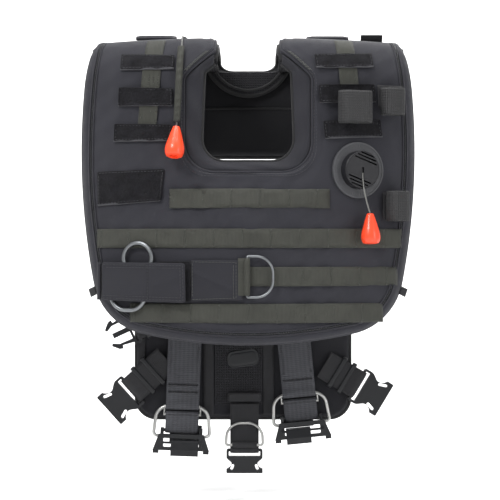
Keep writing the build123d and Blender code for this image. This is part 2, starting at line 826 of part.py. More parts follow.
def strap_planes(x, tilt):
    """Front and side planes of a hanging strap, with their origin at its pivot."""
    along = Vector(math.cos(math.radians(tilt)), 0, math.sin(math.radians(tilt)))
    pivot = Vector(x, THIGH_PIVOT_Y, THIGH_PIVOT_Z)
    face = Plane(origin=pivot, x_dir=along, z_dir=(0, -1, 0))
    profile = Plane(origin=pivot, x_dir=(0, 1, 0), z_dir=along)
    return face, profile


for side, (x, tilt, length, lever_shift, lever_width) in THIGH_STRAPS.items():
    face, profile = strap_planes(x, tilt)
    ring_top = face.from_local_coords(Vector(0, -length, 0))
    ring_face = Plane(origin=ring_top, x_dir=face.x_dir, z_dir=face.z_dir)
    ring_profile = Plane(origin=ring_top, x_dir=profile.x_dir, z_dir=profile.z_dir)

    with BuildPart() as thigh_strap:
        with BuildSketch(profile):
            with Locations((0, -(length + 2.3) / 2)):
                Rectangle(WEBBING_THICK, length - 2.3)
            with Locations((0, -length)):
                Circle(STEEL_WIRE + BAR_CLEARANCE + WEBBING_THICK)
                Circle(STEEL_WIRE + BAR_CLEARANCE, mode=Mode.SUBTRACT)
        extrude(amount=THIGH_WEBBING / 2, both=True)
    save(thigh_strap.part, f"thigh_strap_{side}")

    with BuildPart() as d_ring:
        add(
            wire_ring(
                ring_face, ((-35, 0), (35, 0), (39, -41), (-39, -41)), (18, 18, 5, 5), STEEL_WIRE
            )
        )
        with BuildSketch(ring_profile):
            with Locations((0, -CROSSBAR_DROP)):
                Circle(CROSSBAR_RADIUS)
        extrude(amount=LINK_AT + LINK_RADIUS, both=True)
        for link_x in (-LINK_AT, LINK_AT):
            foot = ring_face.from_local_coords(Vector(link_x, -CROSSBAR_DROP, 0))
            with BuildSketch(Plane(origin=foot, x_dir=(0, 1, 0), z_dir=ring_face.y_dir)):
                Circle(LINK_RADIUS)
            extrude(amount=CROSSBAR_DROP)
    save(d_ring.part, f"d_ring_{side}")

    with BuildPart() as buckle_loop:
        with BuildSketch(ring_profile):
            with Locations((0, -(CROSSBAR_DROP + BUCKLE_BAR_DROP) / 2)):
                SlotCenterToCenter(BUCKLE_BAR_DROP - CROSSBAR_DROP, 8.8, rotation=90)
                SlotCenterToCenter(BUCKLE_BAR_DROP - CROSSBAR_DROP, 5.2, rotation=90, mode=Mode.SUBTRACT)
        extrude(amount=LOOP_HALF_WIDTH, both=True)
    save(buckle_loop.part, f"buckle_loop_{side}")

    with BuildPart() as buckle_frame:
        with BuildSketch(ring_profile):
            Polygon(
                (3.2, -29.5), (3.2, -36), (-3.0, -37.4), (-3.2, -60),
                (-13, -60), (-15, -50), (-9, -36), (-4, -29.5), align=None,
            )
        extrude(amount=29, both=True)
        with BuildSketch(ring_profile):
            Polygon((20, -20), (20, -80), (-30, -80), (-30, -20), align=None)
        extrude(amount=24.5, both=True, mode=Mode.SUBTRACT)
        with BuildSketch(ring_profile):
            with Locations((0, -BUCKLE_BAR_DROP)):
                Circle(2.3)
        extrude(amount=26, both=True)
        with BuildSketch(ring_face.offset(8.5)):
            Polygon((-31, -37.5), (31, -37.5), (39, -60), (-39, -60), align=None)
            with Locations((0, -49.2)):
                RectangleRounded(49, 12, 1.5, mode=Mode.SUBTRACT)
        extrude(amount=4.5)
        with BuildSketch(ring_face.offset(8.5)):
            for foot in (-34.5, 34.5):
                with Locations((foot, -61.5)):
                    Rectangle(8, 5)
        extrude(amount=4.5)
        with BuildSketch(ring_profile):
            with Locations((LEVER_PIN_Y, -LEVER_PIN_DROP)):
                Circle(1.6)
        extrude(amount=31, both=True)
    save(buckle_frame.part, f"buckle_frame_{side}")

    with BuildPart() as buckle_lever:
        lever_origin = ring_profile.from_local_coords(Vector(0, 0, lever_shift))
        lever_profile = Plane(origin=lever_origin, x_dir=profile.x_dir, z_dir=profile.z_dir)
        with BuildSketch(lever_profile):
            with Locations((LEVER_PIN_Y, -LEVER_PIN_DROP)):
                Circle(4.6)
            Polygon(
                (LEVER_PIN_Y - 4.5, -LEVER_PIN_DROP + 1), (LEVER_PIN_Y - 7.6, -LEVER_PIN_DROP - 9),
                (LEVER_PIN_Y - 6.4, -67), (LEVER_PIN_Y - 3.6, -67), (LEVER_PIN_Y - 3.2, -LEVER_PIN_DROP - 9),
                (LEVER_PIN_Y - 2.6, -LEVER_PIN_DROP - 3.5), align=None,
            )
            with Locations((LEVER_PIN_Y, -LEVER_PIN_DROP)):
                Circle(1.7, mode=Mode.SUBTRACT)
        extrude(amount=lever_width / 2, both=True)
    save(buckle_lever.part, f"buckle_lever_{side}")


# ---- Crotch strap and its ring ---------------------------------------------------------

SIDE_PIVOT_Y = 23.4
CROTCH_X = -5.0
CROTCH_TOP = -496.0
CROTCH_RING_Z = -553.0
CROTCH_RING_Y = 18.4
CROTCH_WIRE = 1.9
BUCKLE_BAR_AT = 2.3
BUCKLE_BAR_RADIUS = 2.2
EYE = (BUCKLE_BAR_RADIUS + BAR_CLEARANCE, BUCKLE_BAR_RADIUS + BAR_CLEARANCE + 1.8)
CROTCH_BUCKLE_Z = -558.0


def strap_frame(root_x, root_z, angle, pivot_y=SIDE_PIVOT_Y):
    """Face plane of a strap that leaves the pad at an angle, local x along the strap."""
    along = Vector(math.cos(math.radians(angle)), 0, math.sin(math.radians(angle)))
    return Plane(origin=(root_x, pivot_y, root_z), x_dir=along, z_dir=(0, -1, 0))


def edge_plane(face):
    """Edge-on plane of a strap: local x along the strap, local y towards the back."""
    return Plane(origin=face.origin, x_dir=face.x_dir, z_dir=face.x_dir.cross(Vector(0, 1, 0)))


def strap_with_eye(face, length, width):
    """Webbing from the plane's origin, ending in an eye sewn round a buckle's bar."""
    with BuildSketch(edge_plane(face)) as side_view:
        with Locations(((length - 0.9) / 2, 0)):
            Rectangle(length - 1.1, WEBBING_THICK)
        with Locations((length + BUCKLE_BAR_AT, 0)):
            Circle(EYE[1])
            Circle(EYE[0], mode=Mode.SUBTRACT)
    extrude(side_view.sketch, amount=width / 2, both=True)


CROTCH_FACE = strap_frame(CROTCH_X, CROTCH_TOP, -90)
CROTCH_LENGTH = CROTCH_TOP - CROTCH_BUCKLE_Z

with BuildPart() as crotch_strap:
    strap_with_eye(CROTCH_FACE, CROTCH_LENGTH, SIDE_WEBBING)
    with BuildSketch(Plane(origin=(CROTCH_X, 0, 0), x_dir=(0, 1, 0), z_dir=(1, 0, 0))) as eye:
        with Locations((CROTCH_RING_Y, CROTCH_RING_Z)):
            Circle(CROTCH_WIRE + BAR_CLEARANCE + 1.6)
            Circle(CROTCH_WIRE + BAR_CLEARANCE, mode=Mode.SUBTRACT)
    extrude(eye.sketch, amount=SIDE_WEBBING / 2 - 2, both=True)
save(crotch_strap.part, "crotch_strap")

crotch_ring_plane = Plane(
    origin=(CROTCH_X, CROTCH_RING_Y, CROTCH_RING_Z), x_dir=(1, 0, 0), z_dir=(0, -1, 0)
).rotated((-2, 0, 0))
crotch_ring = wire_ring(
    crotch_ring_plane, ((-25.5, 0), (25.5, 0), (24, 30), (-24, 30)), (3, 3, 20, 20), CROTCH_WIRE
)
save(crotch_ring, "crotch_ring")

with BuildPart() as strap_anchors:
    anchors = [(values[0], THIGH_PIVOT_Z, 54) for values in THIGH_STRAPS.values()]
    anchors.append((CROTCH_X, CROTCH_TOP, 46))
    for x, z, width in anchors:
        with BuildSketch(Plane.XZ.offset(-PAD_FRONT_Y + SEWN_GAP + 1.9)):
            with Locations((x, z + 8.6)):
                RectangleRounded(width, 12, 3)
        extrude(amount=8.5)

with BuildPart() as harness_webbing:
    add(back_straps.part)
    add(strap_anchors.part)
    add(shoulder_tab.part)
save(harness_webbing.part, "harness_webbing")


# ---- Side straps and release buckles ----------------------------------------------------

BUCKLE_LENGTH = 46.0
CROTCH_BUCKLE_LENGTH = 34.0
BUCKLE_WIDTH = 50.0
BUCKLE_THICK = 9.0
SOCKET_WIDTH = 38.0
SOCKET_THICK = 4.6


def release_socket(face, label, length=BUCKLE_LENGTH):
    """The socket half of a side-release buckle: back bar, waisted body and open mouth."""
    half = BUCKLE_WIDTH / 2
    body = length - 12
    edge = edge_plane(face)
    with BuildPart() as socket:
        with BuildSketch(face):
            with BuildLine():
                rail = Line((0.5, half - 3), (0.5, 0))
                shoulder = ThreePointArc(rail @ 0, (1.4, half - 0.9), (3.5, half))
                back_side = Line(shoulder @ 1, (12, half))
                waist = Spline(
                    back_side @ 1,
                    (12 + 0.18 * body, half - 3),
                    (12 + 0.38 * body, half - 7),
                    (12 + 0.59 * body, half - 5),
                    (12 + 0.71 * body, half),
                )
                front_side = Line(waist @ 1, (length - 1, half))
                Polyline(front_side @ 1, (length, half - 1), (length, 0), rail @ 1)
            make_face()
            mirror(about=Plane.XZ)
        extrude(amount=BUCKLE_THICK / 2, both=True)
        with BuildSketch(face):
            with Locations((5.3, 0)):
                Rectangle(9.7, 2 * (half - 3.4))
        extrude(amount=BUCKLE_THICK, both=True, mode=Mode.SUBTRACT)
        with BuildSketch(edge):
            with Locations((BUCKLE_BAR_AT, 0)):
                Circle(BUCKLE_BAR_RADIUS)
        extrude(amount=half - 2, both=True)
        mouth = face.from_local_coords(Vector(15, 0, 0))
        with BuildSketch(Plane(origin=mouth, x_dir=face.y_dir, z_dir=face.x_dir)):
            RectangleRounded(SOCKET_WIDTH, SOCKET_THICK, 1.5)
        extrude(amount=length, mode=Mode.SUBTRACT)
        with BuildSketch(face):
            for side in (-1, 1):
                with Locations(Location((12 + 0.62 * body, side * (half - 8)), side * 18)):
                    SlotOverall(0.38 * body, 4)
        extrude(amount=BUCKLE_THICK, both=True, mode=Mode.SUBTRACT)
    save(socket.part, label)


def release_plug(face, label):
    """The plug half of a side-release buckle: base with a bar, guide and two sprung arms."""
    with BuildPart() as plug:
        with BuildSketch(face):
            with Locations((7, 0)):
                RectangleRounded(13, 46, 3)
            with Locations((5.3, 0)):
                Rectangle(9.7, 41, mode=Mode.SUBTRACT)
            with Locations((24, 0)):
                Rectangle(26, 7)
            for side in (-1, 1):
                Polygon(
                    (11, side * 20), (30, side * 17), (31, side * 21.5), (36, side * 20),
                    (44, side * 12), (42, side * 9), (33, side * 13.5), (11, side * 14), align=None,
                )
        extrude(amount=2.1, both=True)
        with BuildSketch(edge_plane(face)):
            with Locations((BUCKLE_BAR_AT, 0)):
                Circle(BUCKLE_BAR_RADIUS)
        extrude(amount=21.5, both=True)
    save(plug.part, label)


# Straps from the pad, as (root x, root z, angle, strap length).
SIDE_STRAPS = {
    "side_left": (-112, -434, -138, 62),
    "side_right": (105, -442, -31, 51),
    "waist_left": (-124, -374, -155, 32),
}

for name, (root_x, root_z, angle, length) in SIDE_STRAPS.items():
    face = strap_frame(root_x, root_z, angle)
    buckle_face = Plane(
        origin=face.from_local_coords(Vector(length, 0, 0)), x_dir=face.x_dir, z_dir=face.z_dir
    )
    with BuildPart() as strap:
        strap_with_eye(face, length, SIDE_WEBBING)
        for at in (0.42 * length, 0.72 * length):
            slider_at = face.from_local_coords(Vector(at, 0, 0))
            with BuildSketch(Plane(origin=slider_at, x_dir=face.y_dir, z_dir=face.x_dir)):
                RectangleRounded(SIDE_WEBBING + 7, 6.4, 2)
                Rectangle(SIDE_WEBBING + 0.8, WEBBING_THICK + 0.6, mode=Mode.SUBTRACT)
            extrude(amount=2.4, both=True)
    save(strap.part, f"{name}_strap")

    if name.startswith("side"):
        release_socket(buckle_face, f"{name}_buckle")
    else:
        release_plug(buckle_face, f"{name}_buckle")

crotch_buckle_face = Plane(
    origin=CROTCH_FACE.from_local_coords(Vector(CROTCH_LENGTH, 0, 0)),
    x_dir=CROTCH_FACE.x_dir,
    z_dir=CROTCH_FACE.z_dir,
)
release_socket(crotch_buckle_face, "crotch_buckle", CROTCH_BUCKLE_LENGTH)

print(len(NODES), "nodes")
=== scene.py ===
"""A buoyancy vest: padded front panel and yoke, load webbing, loop strips, valves, pad and straps."""
import math

import bpy
import bmesh
import numpy as np
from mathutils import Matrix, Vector, geometry


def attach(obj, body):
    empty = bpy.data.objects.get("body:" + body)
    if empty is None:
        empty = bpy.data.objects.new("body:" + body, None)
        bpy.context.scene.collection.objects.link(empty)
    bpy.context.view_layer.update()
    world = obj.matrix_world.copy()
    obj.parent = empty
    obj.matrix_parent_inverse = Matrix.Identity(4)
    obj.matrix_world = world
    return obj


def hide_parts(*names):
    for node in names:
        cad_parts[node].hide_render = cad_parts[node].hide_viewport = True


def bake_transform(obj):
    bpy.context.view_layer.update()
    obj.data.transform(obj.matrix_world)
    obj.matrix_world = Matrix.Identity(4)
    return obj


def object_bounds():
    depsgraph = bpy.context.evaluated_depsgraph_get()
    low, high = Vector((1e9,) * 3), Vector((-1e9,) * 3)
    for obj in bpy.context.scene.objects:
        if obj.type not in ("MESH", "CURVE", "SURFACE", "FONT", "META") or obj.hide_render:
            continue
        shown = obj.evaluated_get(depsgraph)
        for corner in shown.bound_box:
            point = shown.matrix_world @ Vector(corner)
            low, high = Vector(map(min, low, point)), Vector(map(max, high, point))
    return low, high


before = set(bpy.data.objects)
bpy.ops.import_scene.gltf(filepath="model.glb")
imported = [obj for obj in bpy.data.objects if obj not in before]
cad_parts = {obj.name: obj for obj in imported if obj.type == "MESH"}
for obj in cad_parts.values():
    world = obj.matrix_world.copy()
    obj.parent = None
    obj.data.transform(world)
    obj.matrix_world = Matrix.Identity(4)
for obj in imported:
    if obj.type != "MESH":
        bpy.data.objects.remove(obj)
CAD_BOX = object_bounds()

MM = 0.001
PI = math.pi


# ---- Camera and right pull cord -----------------------------------------------------------

CAMERA_AT = (0.0026, -2.53, -0.284)
CAMERA_LENS = 133
SENSOR_WIDTH = 36
camera_data = bpy.data.cameras.new("camera")
camera_data.lens = CAMERA_LENS
camera_data.sensor_width = SENSOR_WIDTH
camera = bpy.data.objects.new("camera", camera_data)
camera.location = CAMERA_AT
camera.rotation_euler = (PI / 2, 0, 0)
bpy.context.scene.collection.objects.link(camera)
bpy.context.scene.camera = camera


def link(name, data):
    piece = bpy.data.objects.new(name, data)
    bpy.context.scene.collection.objects.link(piece)
    return piece


# The right pull cord: out of the groove in the valve cap, then down to its toggle.
CORD_ROUTE = ((0.14995, -0.11312, -0.183), (0.14995, -0.11312, -0.206), (0.160, -0.1095, -0.2357))
CORD_DIAMETER = 0.002
cord_curve = bpy.data.curves.new("pull_cord", "CURVE")
cord_curve.dimensions = "3D"
cord_curve.bevel_depth = 1.0
cord_curve.bevel_resolution = 3
cord_spline = cord_curve.splines.new("NURBS")
cord_spline.points.add(len(CORD_ROUTE) - 1)
for point, place in zip(cord_spline.points, CORD_ROUTE):
    point.co = (*place, 1)
    point.radius = CORD_DIAMETER / 2
cord_spline.order_u = 3
cord_spline.use_endpoint_u = True
cord_spline.resolution_u = 24
pull_cord = link("pull_cord", cord_curve)
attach(pull_cord, "toggle_right")
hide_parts("toggle_cord_right")


# ---- Materials ----------------------------------------------------------------------------


class Nodes:
    """A short way to build a node material."""

    def __init__(self, name, color, roughness, **shader):
        self.material = bpy.data.materials.new(name)
        self.material.use_nodes = True
        self.tree = self.material.node_tree
        self.shader = self.tree.nodes["Principled BSDF"]
        self.shader.inputs["Base Color"].default_value = (*color, 1)
        self.shader.inputs["Roughness"].default_value = roughness
        for socket, value in shader.items():
            self.shader.inputs[socket.replace("_", " ")].default_value = value

    def add(self, kind, **inputs):
        node = self.tree.nodes.new(kind)
        for key, value in inputs.items():
            if hasattr(node, key) and key not in node.inputs:
                setattr(node, key, value)
        for key, value in inputs.items():
            if key in node.inputs:
                node.inputs[key].default_value = value
        return node

    def link(self, source, target):
        self.tree.links.new(source, target)

    def place(self):
        """Where on the cloth a point is, in metres; CAD pieces use their own coordinates."""
        return self.add("ShaderNodeAttribute", attribute_name="cloth").outputs["Vector"]

    def object_place(self):
        return self.add("ShaderNodeTexCoord").outputs["Object"]

    def noise(self, place, scale, detail=3.0, distortion=0.0):
        node = self.add("ShaderNodeTexNoise", Scale=scale, Detail=detail, Distortion=distortion)
        self.link(place, node.inputs["Vector"])
        return node.outputs["Fac"]

    def bands(self, place, pitch, direction, distortion=0.0):
        node = self.add("ShaderNodeTexWave", Scale=2 * PI / (20 * pitch), Distortion=distortion)
        node.bands_direction = direction
        self.link(place, node.inputs["Vector"])
        return node.outputs["Fac"]

    def math(self, operation, first, second):
        node = self.add("ShaderNodeMath", operation=operation)
        for value, socket in zip((first, second), node.inputs):
            if isinstance(value, (int, float)):
                socket.default_value = value
            else:
                self.link(value, socket)
        return node.outputs[0]

    def ramp(self, factor, low, high, start=0.0, end=1.0):
        node = self.add("ShaderNodeValToRGB")
        node.color_ramp.elements[0].position = start
        node.color_ramp.elements[1].position = end
        node.color_ramp.elements[0].color = (*low, 1)
        node.color_ramp.elements[1].color = (*high, 1)
        self.link(factor, node.inputs["Fac"])
        return node.outputs["Color"]

    def spread(self, factor, low, high):
        """The factor mapped from 0..1 to low..high."""
        node = self.add("ShaderNodeMapRange")
        node.inputs["To Min"].default_value = low
        node.inputs["To Max"].default_value = high
        self.link(factor, node.inputs["Value"])
        return node.outputs["Result"]

    def tint(self, factor, low, high, start, end):
        self.link(self.ramp(factor, low, high, start, end), self.shader.inputs["Base Color"])

    def gloss(self, factor, low, high):
        self.link(self.spread(factor, low, high), self.shader.inputs["Roughness"])

    def bump(self, height, distance, strength=1.0):
        node = self.add("ShaderNodeBump", Strength=strength, Distance=distance)
        self.link(height, node.inputs["Height"])
        self.link(node.outputs["Normal"], self.shader.inputs["Normal"])


def scaled(color, factor):
    return tuple(min(1.0, channel * factor) for channel in color)


def woven(name, color, pitch, depth=0.0003, roughness=0.82, sheen=0.08, mottle=0.3, fuzz=0.4):
    """Plain-weave cloth: two sets of threads, uneven dye, loose fibres and a soft sheen."""
    n = Nodes(name, color, roughness, Sheen_Weight=sheen, Sheen_Roughness=0.4, Specular_IOR_Level=0.3)
    place = n.place()
    warp = n.bands(place, pitch, "X", 0.4)
    weft = n.bands(place, pitch, "Y", 0.4)
    checks = n.math("MULTIPLY", warp, weft)
    cover = n.math("MAXIMUM", warp, weft)
    threads = n.math("SUBTRACT", cover, n.math("MULTIPLY", checks, 0.5))
    fibres = n.noise(place, 1400, 4)
    wear = n.noise(place, 22, 5, 0.6)
    height = n.math("ADD", threads, n.math("MULTIPLY", fibres, fuzz))
    tone = n.math("ADD", n.math("MULTIPLY", threads, 0.55), n.math("MULTIPLY", wear, 0.45))
    n.tint(tone, scaled(color, 1 - mottle), scaled(color, 1 + mottle), 0.25, 0.75)
    n.gloss(wear, roughness - 0.12, roughness + 0.1)
    n.bump(height, depth)
    return n.material


def webbing_cloth(name, color, rib=0.0018, cross=0.0011, roughness=0.7, sheen=0.05):
    """Narrow woven tape: ribs along it, close picks across it and a slight shine."""
    n = Nodes(name, color, roughness, Sheen_Weight=sheen, Sheen_Roughness=0.35)
    place = n.place()
    ribs = n.bands(place, rib, "X", 0.15)
    picks = n.bands(place, cross, "Y", 0.5)
    fibres = n.noise(place, 1800, 3)
    wear = n.noise(place, 45, 4, 0.4)
    relief = n.math("ADD", n.math("MULTIPLY", ribs, 0.6), n.math("MULTIPLY", picks, 0.7))
    height = n.math("ADD", relief, n.math("MULTIPLY", fibres, 0.25))
    tone = n.math("ADD", n.math("MULTIPLY", relief, 0.4), n.math("MULTIPLY", wear, 0.6))
    n.tint(tone, scaled(color, 0.6), scaled(color, 1.45), 0.2, 0.8)
    n.bump(height, 0.0004)
    return n.material


def pile_cloth(name, color):
    """Loop pile: a matted fuzz of tiny loops that lies in patches."""
    n = Nodes(name, color, 0.95, Sheen_Weight=0.06, Sheen_Roughness=0.6, Specular_IOR_Level=0.12)
    place = n.place()
    loops = n.add("ShaderNodeTexVoronoi", Scale=900.0)
    n.link(place, loops.inputs["Vector"])
    tufts = n.noise(place, 380, 6, 1.2)
    matted = n.noise(place, 60, 4, 0.8)
    height = n.math("ADD", n.math("MULTIPLY", loops.outputs["Distance"], 0.6), tufts)
    tone = n.math("ADD", n.math("MULTIPLY", tufts, 0.6), n.math("MULTIPLY", matted, 0.4))
    n.tint(tone, scaled(color, 0.3), scaled(color, 2.8), 0.35, 0.75)
    n.bump(height, 0.0009)
    return n.material


def mesh_cloth(name, color):
    """Spacer mesh: rows of small holes in a knitted face, each hole darkened with painted shade."""
    n = Nodes(name, color, 0.8, Sheen_Weight=0.04, Specular_IOR_Level=0.25)
    place = n.place()
    cells = n.add("ShaderNodeTexVoronoi", Scale=300.0, Randomness=0.15)
    n.link(place, cells.inputs["Vector"])
    knit = n.noise(place, 1500, 3)
    holes = n.ramp(cells.outputs["Distance"], (0.0, 0.0, 0.0), (1.0, 1.0, 1.0), 0.18, 0.42)
    # Painted shade: the colour falls to near black towards the middle of each hole.
    n.tint(cells.outputs["Distance"], scaled(color, 0.15), scaled(color, 1.5), 0.12, 0.5)
    n.bump(n.math("ADD", holes, n.math("MULTIPLY", knit, 0.2)), 0.0007)
    return n.material


def moulded(name, color, roughness, grain=700.0, depth=0.00012, coat=0.0):
    """Moulded plastic: fine grain, flow marks and scuffs that change the gloss."""
    n = Nodes(name, color, roughness, Specular_IOR_Level=0.32, Coat_Weight=coat, Coat_Roughness=0.12)
    place = n.object_place()
    fine = n.noise(place, grain, 2)
    scuffs = n.noise(place, 90, 6, 1.5)
    flow = n.noise(place, 14, 3, 0.4)
    n.tint(flow, scaled(color, 0.85), scaled(color, 1.18), 0.3, 0.7)
    n.gloss(scuffs, roughness - 0.1, roughness + 0.22)
    n.bump(n.math("ADD", fine, n.math("MULTIPLY", scuffs, 0.3)), depth)
    return n.material


def drawn_wire(name, color, roughness):
    """Polished wire: fine scratches, water spots and small changes of shine."""
    n = Nodes(name, color, roughness, Metallic=1.0)
    place = n.object_place()
    scratches = n.noise(place, 1100, 5, 2.5)
    spots = n.noise(place, 55, 4)
    n.tint(spots, scaled(color, 0.82), scaled(color, 1.08), 0.3, 0.7)
    n.gloss(scratches, roughness - 0.07, roughness + 0.14)
    n.bump(scratches, 0.00004)
    return n.material


CHARCOAL = (0.021, 0.021, 0.027)
OLIVE = (0.024, 0.025, 0.019)
CLOTH = {
    "cordura": woven("cordura", CHARCOAL, 0.0011),
    "flap_cordura": woven("flap_cordura", (0.017, 0.017, 0.022), 0.0009),
    "lining": woven("lining", (0.007, 0.007, 0.009), 0.0008, sheen=0.03),
    "pad_fabric": woven("pad_fabric", (0.008, 0.008, 0.011), 0.0010, roughness=0.7, sheen=0.04),
    "mesh": mesh_cloth("spacer_mesh", (0.010, 0.010, 0.012)),
    "olive_webbing": webbing_cloth("olive_webbing", OLIVE),
    "grey_webbing": webbing_cloth("grey_webbing", (0.030, 0.031, 0.037), 0.0060, 0.0026),
    "black_webbing": webbing_cloth("black_webbing", (0.007, 0.007, 0.009)),
    "binding": webbing_cloth("binding", (0.005, 0.005, 0.006), 0.0012, 0.0009),
    "loop_pile": pile_cloth("loop_pile", (0.0050, 0.0048, 0.0062)),
    "elastic": webbing_cloth("elastic", (0.011, 0.011, 0.012), 0.0034, 0.0016, 0.6),
    "thread": webbing_cloth("thread", (0.13, 0.135, 0.12), 0.0004, 0.0004, 0.6),
    "selvage": webbing_cloth("selvage", (0.045, 0.045, 0.052), 0.0009, 0.0007),
    "dark_thread": webbing_cloth("dark_thread", (0.060, 0.060, 0.066), 0.0004, 0.0004, 0.6),
    "cord": webbing_cloth("cord", (0.20, 0.20, 0.19), 0.0004, 0.0004, 0.7),
}
PLASTIC = {
    "black_plastic": moulded("black_plastic", (0.0035, 0.0042, 0.0058), 0.30, coat=0.1),
    "valve_plastic": moulded("valve_plastic", (0.007, 0.007, 0.009), 0.46),
    "valve_flange": moulded("valve_flange", (0.050, 0.051, 0.056), 0.45),
    "orange_plastic": moulded("orange_plastic", (0.84, 0.062, 0.018), 0.30, 500.0, 0.0002, 0.35),
    "steel": drawn_wire("steel", (0.40, 0.40, 0.39), 0.27),
    "dark_steel": drawn_wire("dark_steel", (0.20, 0.21, 0.22), 0.36),
}
pull_cord.data.materials.append(CLOTH["cord"])
MATERIALS = {**CLOTH, **PLASTIC}


def look(slot, material=None):
    """A slot with its material, which has the slot's name unless another is given."""
    return slot, MATERIALS[material or slot]


def repaint(material, *nodes):
    """Gives kept CAD nodes their finished material."""
    for name in nodes:
        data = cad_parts[name].data
        data.materials.clear()
        data.materials.append(material)


# ---- The torso skin and other surfaces ----------------------------------------------------

# Each surface turns (across, along, depth) arrays into points; depth is outward.
FRONT_CENTRE = 0.250
FRONT_RADIUS = 0.354
FRONT_CURVE = 0.038
FRONT_START = -0.062
BACK_CENTRE = -0.820
BACK_RADIUS = 0.900
BACK_CURVE = 0.010
BACK_START = -0.034
SKIN = 0.023
FRONT_REACH = FRONT_CURVE + SKIN
BACK_REACH = BACK_CURVE + SKIN
FOLD_Y = -0.0052


def over_shoulder(x, s, d, radius, curve, start, reach):
    angle = np.clip((s - start) / reach, 0, PI / 2)
    run = np.maximum(s - start - reach * PI / 2, 0)
    rho = radius - curve + (curve + d) * np.cos(angle) - run
    z = np.where(s < start, s, start + (curve + d) * np.sin(angle))
    return np.sqrt(np.maximum(rho**2 - x**2, 0)), z


def front_skin(x, s, d):
    out, z = over_shoulder(x, s, d, FRONT_RADIUS, FRONT_CURVE, FRONT_START, FRONT_REACH)
    return np.stack([x, FRONT_CENTRE - out, z], -1)


def back_skin(x, s, d):
    out, z = over_shoulder(x, s, d, BACK_RADIUS, BACK_CURVE, BACK_START, BACK_REACH)
    return np.stack([x, BACK_CENTRE + out, z], -1)


def flat_skin(origin, across, along, outward):
    """A plane, as a surface."""
    base, a, b, c = (np.array(v, float) for v in (origin, across, along, outward))

    def place(x, s, d):
        return base + x[:, None] * a + s[:, None] * b + np.asarray(d * np.ones_like(x))[:, None] * c

    return place


def front_s(z):
    """How far along the front skin a height is."""
    if z <= FRONT_START:
        return z
    return FRONT_START + FRONT_REACH * math.asin(min(1, (z - FRONT_START) / FRONT_REACH))


def back_s(z):
    if z <= BACK_START:
        return z
    return BACK_START + BACK_REACH * math.asin(min(1, (z - BACK_START) / BACK_REACH))


def seam_s(x, centre_gap, radius, curve, start, reach):
    """Where the skin meets the fold line over the shoulder."""
    rho = math.hypot(x, centre_gap)
    if rho > radius - curve:
        return start + reach * math.acos(min(1, (rho - radius + curve) / reach))
    return start + reach * PI / 2 + radius - curve - rho


def front_seam(x):
    return seam_s(x, FRONT_CENTRE - FOLD_Y, FRONT_RADIUS, FRONT_CURVE, FRONT_START, FRONT_REACH)


def back_seam(x, y=FOLD_Y):
    return seam_s(x, y - BACK_CENTRE, BACK_RADIUS, BACK_CURVE, BACK_START, BACK_REACH)


def mm(*points):
    return [(x * MM, z * MM) for x, z in points]


def arc(first, middle, last, count=14):
    """Points on the circle through three points, the last left out."""
    (ax, ay), (bx, by), (cx, cy) = first, middle, last
    d = 2 * (ax * (by - cy) + bx * (cy - ay) + cx * (ay - by))
    ux = ((ax**2 + ay**2) * (by - cy) + (bx**2 + by**2) * (cy - ay) + (cx**2 + cy**2) * (ay - by)) / d
    uy = ((ax**2 + ay**2) * (cx - bx) + (bx**2 + by**2) * (ax - cx) + (cx**2 + cy**2) * (bx - ax)) / d
    start, mid, end = (math.atan2(y - uy, x - ux) for x, y in (first, middle, last))
    sweep = (end - start) % (2 * PI)
    if (mid - start) % (2 * PI) > sweep:
        sweep -= 2 * PI
    r = math.hypot(ax - ux, ay - uy)
    turns = [start + sweep * i / count for i in range(count)]
    return [(ux + r * math.cos(t), uy + r * math.sin(t)) for t in turns]


def rounded(corners, radius, closed=True, count=6):
    """A polyline with its corners rounded; radius is one number or one per corner."""
    radii = radius if hasattr(radius, "__len__") else [radius] * len(corners)
    result = []
    for i, (corner, r) in enumerate(zip(corners, radii)):
        if r == 0 or (not closed and i in (0, len(corners) - 1)):
            result.append(tuple(corner))
            continue
        c = np.array(corner)
        to_last = np.array(corners[i - 1]) - c
        to_next = np.array(corners[(i + 1) % len(corners)]) - c
        u = to_last / np.linalg.norm(to_last)
        v = to_next / np.linalg.norm(to_next)
        half = math.acos(max(-1, min(1, float(u @ v)))) / 2
        cut = r / math.tan(half)
        start, end = c + u * cut, c + v * cut
        middle = c + (u + v) / np.linalg.norm(u + v) * (r / math.sin(half) - r)
        result += arc(start, middle, end, count) + [tuple(end)]
    return result


def densify(points, step, closed=True):
    """The same polyline with points no further apart than step."""
    result = []
    ends = points[1:] + points[:1] if closed else points[1:]
    for a, b in zip(points, ends):
        parts = max(1, math.ceil(math.dist(a, b) / step))
        result += [tuple(a[k] + (b[k] - a[k]) * i / parts for k in range(len(a))) for i in range(parts)]
    if not closed:
        result.append(tuple(points[-1]))
    return result


def run_along(points):
    """How far along a polyline each of its points is."""
    return np.concatenate([[0], np.cumsum(np.linalg.norm(np.diff(points, axis=0), axis=1))])


def unit(vectors):
    return vectors / np.maximum(np.linalg.norm(vectors, axis=1), 1e-12)[:, None]


def inside(points, loop):
    x, y = points[:, 0], points[:, 1]
    hit = np.zeros(len(points), bool)
    for (ax, ay), (bx, by) in zip(loop, loop[1:] + loop[:1]):
        if ay == by:
            continue
        crosses = (ay > y) != (by > y)
        hit ^= crosses & (x < (bx - ax) * (y - ay) / (by - ay) + ax)
    return hit


def edge_distance(points, segments):
    """Distance from each point to the nearest of the segments."""
    best = np.full(len(points), 1e9)
    for a, b in segments:
        a, b = np.array(a), np.array(b)
        along = b - a
        t = np.clip(((points - a) @ along) / max(along @ along, 1e-12), 0, 1)
        best = np.minimum(best, np.linalg.norm(points - a - t[:, None] * along, axis=1))
    return best


def no_relief(x, s, distance):
    return 0 * x


